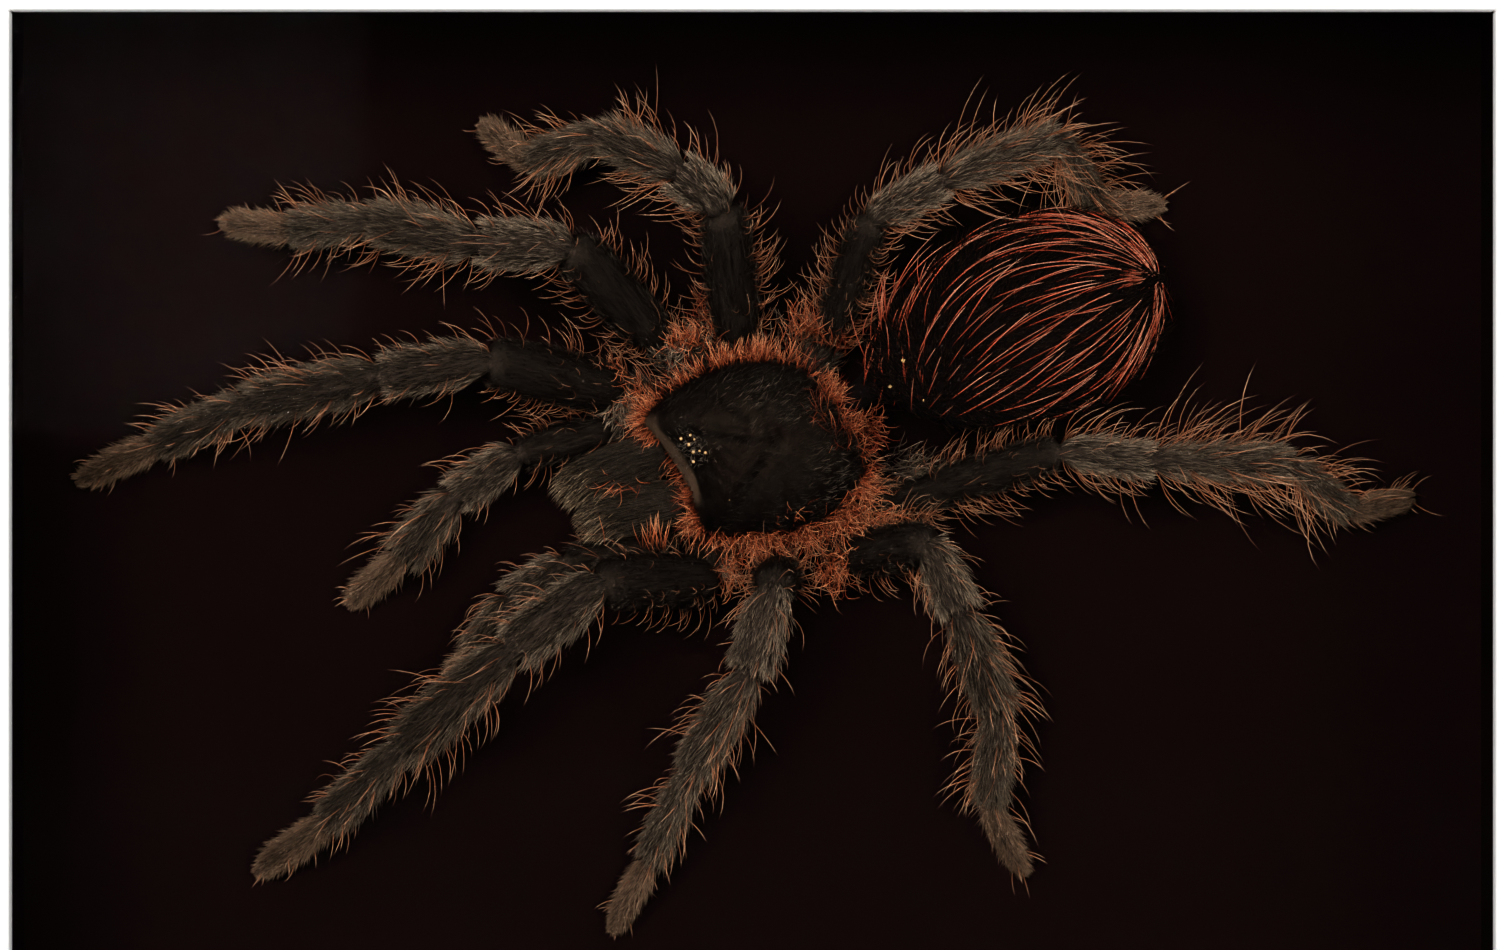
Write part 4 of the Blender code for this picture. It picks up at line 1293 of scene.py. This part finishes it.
@dataclass
class Abdomen:
    """The abdomen: a black velvet egg under long red-orange hairs that sweep back to one point.

    The hairs flow from the front pole to the rear one. The bald spot, an ellipse by its middle and
    half sizes, has none of the long ones, and below and left of the short corner they are shorter.
    """

    plan: Plan
    centre: Pair = (30.6, 14.6)
    heading: float = 19.0
    radii: Triple = (19.2, 12.6, 9.6)
    middle: float = 10.6
    taper: float = 0.16
    skin_share: float = 0.95
    hair_share: float = 0.97
    front_pole: Pair = (18.4, 1.6)
    rear_pole: Pair = (46.8, 20.0)
    pole_clearance: float = 8.0
    bald_spot: tuple[Pair, Pair] = ((15.4, 7.6), (3.0, 4.0))
    short_corner: Pair = (22.5, 10.0)
    short_gain: float = 0.4
    back: Stand = Stand(175, (6.0, 12.5), (0.13, 0.19), (0.45, 0.25))
    rim: Stand = Stand(72, (4.0, 10.5), (0.12, 0.17), (0.5, 0.3))
    rim_turns: Pair = (-70, 80)
    rim_share: Pair = (0.82, 0.99)
    pole: Stand = Stand(30, (1.4, 2.6), (0.13, 0.18), (0.1, 0.15))
    pole_hairs_back: Pair = (3.6, 0.2)
    front: Stand = Stand(74, (2.5, 6.0), (0.14, 0.2), (0.1, 0.2))
    front_field: tuple[Pair, Pair] = ((9.5, 19.5), (5.0, 19.0))
    down_count: int = 4200
    down_reach: Pair = (1.2, 2.4)
    down_width: Pair = (0.13, 0.2)

    def local(self, places: np.ndarray) -> tuple[np.ndarray, np.ndarray]:
        """Plan places along and across the abdomen, as shares of its half length and half width.

        Args:
            places: Rows of across and up.

        Returns:
            How far along and how far across each one is.
        """
        away = places - np.array(self.centre)
        ahead = away @ toward(self.heading) / self.radii[0]
        return ahead, away @ toward(self.heading + 90) / (self.radii[1] * (1 + self.taper * ahead))

    def spot(self, ahead: np.ndarray | float, aside: np.ndarray) -> np.ndarray:
        """Plan places from shares of the half length and half width, the other way from local.

        Args:
            ahead: Shares along the abdomen.
            aside: Shares across it.

        Returns:
            Rows of across and up.
        """
        aside = aside * (1 + self.taper * ahead) * self.radii[1]
        return (np.array(self.centre) + np.outer(ahead * self.radii[0], toward(self.heading))
                + np.outer(aside, toward(self.heading + 90)))

    def top(self, places: np.ndarray) -> np.ndarray:
        """The upper surface's height at plan places, or the side's where a place is beyond it.

        Args:
            places: Rows of across and up.

        Returns:
            The heights.
        """
        ahead, aside = self.local(places)
        away = np.clip((ahead ** 2 + aside ** 2) / self.skin_share ** 2, 0, 0.985)
        rise = self.radii[2] * self.skin_share * (1 + self.taper * np.clip(ahead, -1, 1))
        return self.middle + rise * np.sqrt(1 - away)

    def skin(self) -> bpy.types.Mesh:
        """The closed skin, slightly uneven.

        Returns:
            The mesh.
        """
        rings = []
        turns = np.arange(64) * math.tau / 64
        for angle in np.linspace(0.06, math.pi - 0.06, 52):
            ahead = -math.cos(angle)
            uneven = 1 + 0.008 * np.sin(3 * turns + 5 * angle) + 0.006 * np.sin(7 * turns - 11 * angle)
            girth = math.sin(angle) * (1 + self.taper * ahead) * self.skin_share * uneven
            place = (np.array(self.centre) + toward(self.heading) * ahead * self.radii[0] * self.skin_share
                     + np.outer(self.radii[1] * girth * np.cos(turns), toward(self.heading + 90)))
            rings.append(raised(place, self.middle + self.radii[2] * girth * np.sin(turns)))
        return ringed_mesh("abdomen_skin", rings, self.plan)

    def flow(self, places: np.ndarray) -> np.ndarray:
        """The way the hairs lie: out of the front pole and into the rear one.

        Args:
            places: Rows of across and up.

        Returns:
            Each place's direction in plan.
        """
        away = [places - np.array(pole) for pole in (self.front_pole, self.rear_pole)]
        front, rear = (part / (part ** 2).sum(axis=1, keepdims=True) for part in away)
        return unit(front - rear)

    def sweep_hairs(self, bed: HairBed, roots: np.ndarray, reach: Pair | np.ndarray, lift: Pair,
                    halt: Pair | np.ndarray) -> np.ndarray:
        """Hair middle lines that follow the flow over the skin.

        Args:
            bed: The bed that draws them.
            roots: Rows of across and up.
            reach: The hairs' lengths, or their span.
            lift: The span of how far their tips stand off the skin.
            halt: How far from the rear pole each one stops, or the span.

        Returns:
            An array of hair, point and place.
        """
        steps = 12
        reach, lift, halt = (bed.pick(span, len(roots)) for span in (reach, lift, halt))
        stray = bed.draw.normal(0, 0.1, len(roots))[:, None]
        lines = []
        for number in range(steps + 1):
            rise = 0.1 + lift * (1 - (1 - number / steps) ** 2)
            lines.append(raised(roots, self.top(roots) + rise))
            way = self.flow(roots)
            left = np.hypot(*(roots - np.array(self.rear_pole)).T)
            turned = way + np.column_stack((-way[:, 1], way[:, 0])) * stray
            roots = roots + turned * (reach / steps * np.clip((left - halt) / 1.2, 0.02, 1))[:, None]
        return np.stack(lines, axis=1)

    def inside(self, bed: HairBed, count: int) -> np.ndarray:
        """Random plan places on the abdomen.

        Args:
            bed: The bed that draws them.
            count: How many there are.

        Returns:
            Rows of across and up.
        """
        turn = bed.draw.uniform(0, math.tau, count)
        far = np.sqrt(bed.draw.uniform(0, 1, count)) * self.hair_share
        return self.spot(far * np.cos(turn), far * np.sin(turn))

    def grow_long(self) -> None:
        """Grows the long hairs: over the back, round the rim and at the rear pole."""
        bed = HairBed(self.plan, "abdomen_long_hairs", ABDOMEN_HAIR, 51)
        count = self.back.count
        offered = self.inside(bed, count * 12)
        gap = 0.75 * math.sqrt(math.pi * self.radii[0] * self.radii[1] / count)
        kept = [offered[0]]
        for place in offered[1:]:
            if len(kept) < count and np.hypot(*(np.array(kept) - place).T).min() > gap:
                kept.append(place)
        roots = np.array(kept)
        spot, size = (np.array(pair) for pair in self.bald_spot)
        bald = np.hypot(*((roots - spot) / size).T) < 1
        roots = roots[~(bald | (np.hypot(*(roots - np.array(self.rear_pole)).T) < self.pole_clearance))]
        across = self.local(roots)[1]
        lower, aside = np.clip(-across, 0, 1), np.abs(across)
        reach = bed.pick(self.back.reach, len(roots)) * (0.85 + 0.4 * aside - 0.5 * lower)
        reach = np.where((roots < np.array(self.short_corner)).all(axis=1), reach * self.short_gain, reach)
        halt = 1.0 + 4.0 * lower + bed.draw.uniform(0, 1, len(roots)) * np.clip(9.0 - 9.5 * aside, 2.0, 9.0)
        lines = self.sweep_hairs(bed, roots, reach, lift=(0.6, 1.5), halt=halt)
        bed.add(lines, self.back.width, self.back.tone)
        turn = np.radians(bed.pick(self.rim_turns, self.rim.count))
        far = bed.pick(self.rim_share, self.rim.count)
        roots = self.spot(far * np.cos(turn), far * np.sin(turn))
        lines = self.sweep_hairs(bed, roots, self.rim.reach, lift=(0.8, 2.4), halt=(0.5, 2.5))
        bed.add(lines, self.rim.width, self.rim.tone)
        roots = bed.draw.normal(0, 0.9, (self.pole.count, 2))
        roots = roots + np.array(self.rear_pole) - np.array(self.pole_hairs_back)
        lines = self.sweep_hairs(bed, roots, self.pole.reach, lift=(0.5, 1.2), halt=(0.8, 2.0))
        bed.add(lines, self.pole.width, self.pole.tone)
        bed.finish_piece()

    def grow_front(self) -> None:
        """Grows the short red hairs that stand at the front, by the carapace."""
        bed = HairBed(self.plan, "abdomen_front_hairs", ABDOMEN_HAIR, 52)
        roots = np.column_stack([bed.pick(span, self.front.count) for span in self.front_field])
        ahead, aside = self.local(roots)
        roots = roots[ahead ** 2 + aside ** 2 < 1.05]
        upward = np.ones(len(roots))
        start = raised(np.column_stack((bed.draw.normal(0.0, 0.22, len(roots)), upward)), 0.5)
        end = raised(np.column_stack((bed.draw.normal(0.35, 0.3, len(roots)), upward)), -0.1)
        lines = bed.curve(raised(roots, self.top(roots)), start, end, self.front.reach, points=7)
        bed.add(lines, self.front.width, self.front.tone)
        bed.finish_piece()

    def grow_velvet(self) -> None:
        """Grows the dense dark down."""
        bed = HairBed(self.plan, "abdomen_down", DOWN_HAIR, 53)
        roots = self.inside(bed, self.down_count)
        way = unit(self.flow(roots) + bed.draw.normal(0, 0.4, roots.shape))
        ahead, aside = self.local(roots)
        outward = np.outer(ahead, toward(self.heading)) + np.outer(aside, toward(self.heading + 90))
        lines = bed.curve(raised(roots, self.top(roots) - 0.1), raised(way * 0.8 + outward * 0.8, 0.5),
                          raised(way + outward * 0.5, 0.0), self.down_reach)
        bed.add(lines, bed.pick(self.down_width, len(roots)), bed.draw.uniform(0, 1, len(roots)))
        bed.finish_piece()

    def build(self) -> None:
        """Makes the abdomen's pieces."""
        place_piece(self.skin(), BLACK_VELVET, "abdomen")
        self.grow_velvet()
        self.grow_front()
        self.grow_long()


@dataclass
class Waist(Tube):
    """The short stalk that joins the abdomen to the carapace."""

    start: Triple = (8.6, 3.4, 7.4)
    finish: Triple = (14.6, 8.6, 8.6)
    width: float = 4.2

    def build(self, plan: Plan) -> None:
        """Makes the stalk.

        Args:
            plan: The spider's plan.
        """
        share = np.linspace(0, 1, 10)
        centre = np.array(self.start) + (np.array(self.finish) - np.array(self.start)) * share[:, None]
        radius = self.width / 2 * (1 - 0.25 * np.sin(math.pi * share))
        self.sweep(centre, radius, np.zeros(len(share), dtype=int))
        place_piece(self.skin(plan, "waist", share * 0, share * 0), BLACK_VELVET)


@dataclass(frozen=True)
class Tuft:
    """A loose bunch of hairs: its middle and height, how wide it spreads, and how its hairs grow."""

    middle: Triple
    spread: Pair
    heading: float
    fan: float
    count: int
    length: Pair
    rise: float
    curl: float
    tone: float


FRINGE_TUFTS = (
    Tuft((8.8, -13.4, 7.0), (1.9, 1.9), 300, 60, 110, (1.8, 3.8), 0.9, 0.7, 0.50),
    Tuft((-3.0, -13.6, 7.0), (1.1, 1.8), 265, 45, 80, (1.8, 3.2), 0.9, 0.6, 0.45),
    Tuft((11.6, -9.6, 7.5), (2.2, 1.6), 330, 60, 80, (2.0, 4.0), 0.9, 0.7, 0.60),
    Tuft((-11.6, -11.6, 9.5), (4.3, 0.5), 90, 16, 26, (3.6, 5.2), 1.1, 0.1, 0.55),
    Tuft((-16.8, 8.2, 7.0), (1.8, 1.4), 165, 40, 70, (1.8, 3.4), 0.8, 0.4, 0.70),
    Tuft((-14.2, 5.0, 7.2), (1.2, 2.0), 150, 50, 60, (1.8, 3.0), 0.8, 0.4, 0.65),
    Tuft((12.6, 2.6, 8.0), (1.2, 1.8), 20, 60, 60, (1.8, 3.4), 0.9, 0.5, 0.05),
    Tuft((-8.4, 12.2, 7.0), (2.6, 1.2), 115, 40, 80, (1.8, 3.6), 0.8, 0.4, 0.55),
    Tuft((-5.4, 14.6, 6.0), (1.6, 1.8), 120, 50, 50, (2.2, 4.4), 0.9, 0.5, 0.35),
    Tuft((5.0, 13.6, 6.6), (2.2, 1.6), 75, 35, 80, (2.4, 5.0), 0.8, 0.4, 0.45),
    Tuft((9.4, 12.0, 7.0), (1.6, 1.6), 85, 30, 50, (2.6, 5.0), 0.8, 0.4, 0.25),
    Tuft((13.2, -8.0, 6.4), (2.4, 1.2), 345, 40, 60, (2.2, 4.2), 0.8, 0.5, 0.65),
    Tuft((-16.4, -4.2, 8.4), (2.8, 0.7), 200, 34, 26, (1.6, 3.2), 0.45, 0.3, 0.60),
)
PALE_TUFTS = (
    Tuft((-16.2, 5.6, 7.4), (1.3, 2.4), 250, 30, 110, (1.8, 3.0), 0.4, 0.1, 0.55),
    Tuft((-10.8, 10.2, 7.0), (1.3, 1.4), 60, 35, 64, (1.6, 2.8), 0.5, 0.1, 0.60),
    Tuft((-3.9, -14.0, 7.0), (0.7, 0.8), 320, 40, 50, (0.8, 1.4), 0.6, 0.1, 0.95),
    Tuft((17.5, -2.4, 6.8), (3.6, 1.6), 8, 25, 160, (2.0, 3.6), 0.35, 0.3, 0.15),
    Tuft((-6.0, 13.0, 5.0), (2.6, 1.6), 110, 50, 90, (1.8, 3.2), 0.8, 0.3, 0.35),
    Tuft((4.6, 13.0, 5.0), (2.6, 1.6), 80, 50, 90, (1.8, 3.2), 0.8, 0.3, 0.35),
)
TUFT_WIDTH_MM = (0.09, 0.15)
# Each flake's place across, up and off the board, and its size.
SPECKS_MM = (
    (16.9, 10.2, 18.3, 0.46), (15.4, 7.2, 17.0, 0.36), (19.3, 5.6, 17.6, 0.3), (-3.4, -6.1, 13.55, 0.16),
)


def grow_tufts(bed: HairBed, tufts: tuple[Tuft, ...]) -> None:
    """Grows bunches of hairs between the bases of the limbs.

    Args:
        bed: The bed that takes the hairs.
        tufts: The bunches.
    """
    for tuft in tufts:
        count = tuft.count
        spot = bed.draw.normal(0, 0.6, (count, 2)) * np.array(tuft.spread) + np.array(tuft.middle[:2])
        roots = raised(spot, tuft.middle[2] + bed.draw.normal(0, 0.5, count))
        turn = np.radians(tuft.heading + bed.draw.normal(0, tuft.fan, count))
        way = np.column_stack((np.cos(turn), np.sin(turn)))
        start = raised(way, tuft.rise + bed.draw.normal(0, 0.25, count))
        lines = bed.curve(roots, start, raised(way, -0.1), tuft.length, 7, tuft.curl)
        bed.add(lines, TUFT_WIDTH_MM, tones=(tuft.tone, 0.32))
    bed.finish_piece()


def add_specks(plan: Plan) -> None:
    """Scatters the dry flakes over the spider as one piece.

    Args:
        plan: The spider's plan.
    """
    shape = bmesh.new()
    for number, (*spot, size) in enumerate(SPECKS_MM):
        made = bmesh.ops.create_icosphere(shape, subdivisions=2, radius=size / 2 * MM)["verts"]
        for vert in made:
            vert.co.x *= 1 + 0.5 * math.sin(number * 2.1 + vert.co.z / MM * 5)
            vert.co.y *= 0.5
        bmesh.ops.translate(shape, vec=Vector(plan.place(np.array(spot))), verts=made)
    place_piece(take_mesh(shape, "dry_specks"), SPECK)


@dataclass
class ShadowBox:
    """The frame, its glass and what shuts it at the back, which all keep their CAD shapes."""

    face_mm: float = 20.0
    rebate_mm: float = 6.0
    lip_mm: float = 3.0
    edge_radius_mm: float = 1.2
    mitre_gap_mm: float = 0.29
    arc_steps: int = 6

    SIDES = ("top", "bottom", "left", "right")

    def build(self) -> None:
        """Dresses the box's nodes."""
        WHITE_PAINT.dress(*(f"rail_{side}" for side in self.SIDES))
        LINER_CARD.dress(*(f"liner_{side}" for side in self.SIDES))
        PLATED_STEEL.dress(*(f"framing_point_{number}" for number in range(1, 7)))
        PLATED_STEEL.dress("sawtooth_hanger", "hanger_nail_1", "hanger_nail_2")
        MOUNT_CARD.dress("mount_board")
        BROWN_HARDBOARD.dress("backing_panel")
        CLEAR_GLASS.dress("glass_pane")
        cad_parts["glass_pane"].visible_shadow = False
        self.fill_mitres()

    def profile(self, depth: float) -> list[Pair]:
        """The rail's section: distances out from the sight edge and back from the front, in millimetres.

        Args:
            depth: The rail's whole depth.

        Returns:
            Pairs of those distances, round the section.
        """
        radius = self.edge_radius_mm
        points = []
        for middle, start in ((radius, 180.0), (self.face_mm - radius, 270.0)):
            for step in range(self.arc_steps + 1):
                angle = math.radians(start + 90.0 * step / self.arc_steps)
                points.append((middle + radius * math.cos(angle), radius + radius * math.sin(angle)))
        return points + [(self.face_mm, depth), (self.rebate_mm, depth), (self.rebate_mm, self.lip_mm),
                         (0.0, self.lip_mm)]

    def fill_mitres(self) -> None:
        """Fills the four mitre joints flush with the rails, as glue and paint do."""
        low, high = (Vector(corner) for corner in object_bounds())
        middle, half = (low + high) / 2, (high - low) / 2
        offset = self.mitre_gap_mm * MM / 2 / math.sqrt(2)
        shape = bmesh.new()
        for side, rise in ((-1, -1), (-1, 1), (1, -1), (1, 1)):
            edges = []
            for way in (-offset, offset):
                ring = []
                for out, back in self.profile(2 * half.y / MM):
                    inward = (self.face_mm - out) * MM
                    across, up = min(half.x - inward + way, half.x), min(half.z - inward - way, half.z)
                    place = (middle.x + side * across, low.y + back * MM, middle.z + rise * up)
                    ring.append(shape.verts.new(place))
                edges += shape.faces.new(ring).edges
            bmesh.ops.bridge_loops(shape, edges=edges)
        bmesh.ops.recalc_face_normals(shape, faces=shape.faces)
        place_piece(take_mesh(shape, "mitre_filler"), WHITE_PAINT)


@dataclass
class Studio:
    """The pale floor, the soft lights and the camera at the photograph's view."""

    view_distance_mm: float = 900.0
    picture_width_mm: float = 170.0 * 1500 / 1481
    camera_across_mm: float = -0.29
    camera_up_mm: float = 3.5
    sensor_mm: float = 36.0
    floor_span: float = 6.0
    air: str = "#f2f3f5"
    air_strength: float = 0.32

    # Places from the window's middle, sizes in metres and powers in watts.
    LAMPS = (
        ("key_lamp", (-0.34, -1.2, 0.26), 0.5, 13.5),
        ("fill_lamp", (0.6, -1.1, 0.12), 0.5, 6.0),
        ("back_lamp", (0.3, 1.3, 0.9), 0.8, 13.0),
    )

    def build(self) -> None:
        """Sets up the stage."""
        shape = bmesh.new()
        bmesh.ops.create_grid(shape, x_segments=1, y_segments=1, size=self.floor_span / 2)
        floor = bpy.data.objects.new("studio_floor", take_mesh(shape, "studio_floor"))
        floor.data.materials.append(PALE_FLOOR.material())
        bpy.context.scene.collection.objects.link(floor)
        floor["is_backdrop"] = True
        low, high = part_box("glass_pane")
        middle = (low[2] + high[2]) / 2
        self.add_lights(middle)
        self.add_camera(low[1], middle)
        world = bpy.data.worlds.new("studio_air")
        world.use_nodes = True
        world.node_tree.nodes["Background"].inputs["Color"].default_value = linear(self.air)
        world.node_tree.nodes["Background"].inputs["Strength"].default_value = self.air_strength
        bpy.context.scene.world = world
        bpy.context.scene.view_settings.view_transform = "Standard"

    def add_lights(self, middle: float) -> None:
        """Hangs the soft lamps, which face the window's middle at the height given.

        Args:
            middle: That height; the lamps' own heights are from it.
        """
        for name, (across, depth, up), size, power in self.LAMPS:
            light = bpy.data.lights.new(name, "AREA")
            light.size = size
            light.energy = power
            lamp = bpy.data.objects.new(name, light)
            lamp.location = (across, depth, middle + up)
            lamp.rotation_euler = Vector((-across, -depth, -up)).to_track_quat("-Z", "Y").to_euler()
            bpy.context.scene.collection.objects.link(lamp)

    def add_camera(self, glass: float, middle: float) -> None:
        """Sets the camera square to the window, as the photograph was taken.

        Args:
            glass: The depth of the glass's front.
            middle: The height of the window's middle.
        """
        data = bpy.data.cameras.new("camera")
        data.sensor_width = self.sensor_mm
        data.lens = self.sensor_mm * self.view_distance_mm / self.picture_width_mm
        data.clip_start = 0.01
        camera = bpy.data.objects.new("camera", data)
        camera.location = (self.camera_across_mm * MM, glass - (BOARD_GAP_MM + self.view_distance_mm) * MM,
                           middle + self.camera_up_mm * MM)
        camera.rotation_euler = (math.pi / 2, 0, 0)
        bpy.context.scene.collection.objects.link(camera)
        bpy.context.scene.camera = camera


def main() -> None:
    """Dresses the frame and builds the spider's pieces."""
    logging.basicConfig(level=logging.INFO, format="%(name)s: %(message)s")
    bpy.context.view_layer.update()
    Studio().build()
    ShadowBox().build()
    plan = Plan()
    for limb in LIMBS:
        limb.build(plan)
    Carapace(plan).build()
    Chelicera("chelicera_right", (-13.2, -1.2, 6.6), (-22.6, -4.5, 5.0), 31).build(plan)
    Chelicera("chelicera_left", (-10.9, -6.5, 6.6), (-19.9, -8.5, 5.0), 32).build(plan)
    Abdomen(plan).build()
    Waist().build(plan)
    grow_tufts(HairBed(plan, "fringe_tufts", FRINGE_HAIR, 61), FRINGE_TUFTS)
    grow_tufts(HairBed(plan, "pale_tufts", COAT_HAIR, 62), PALE_TUFTS)
    add_specks(plan)


if __name__ == "__main__":
    main()
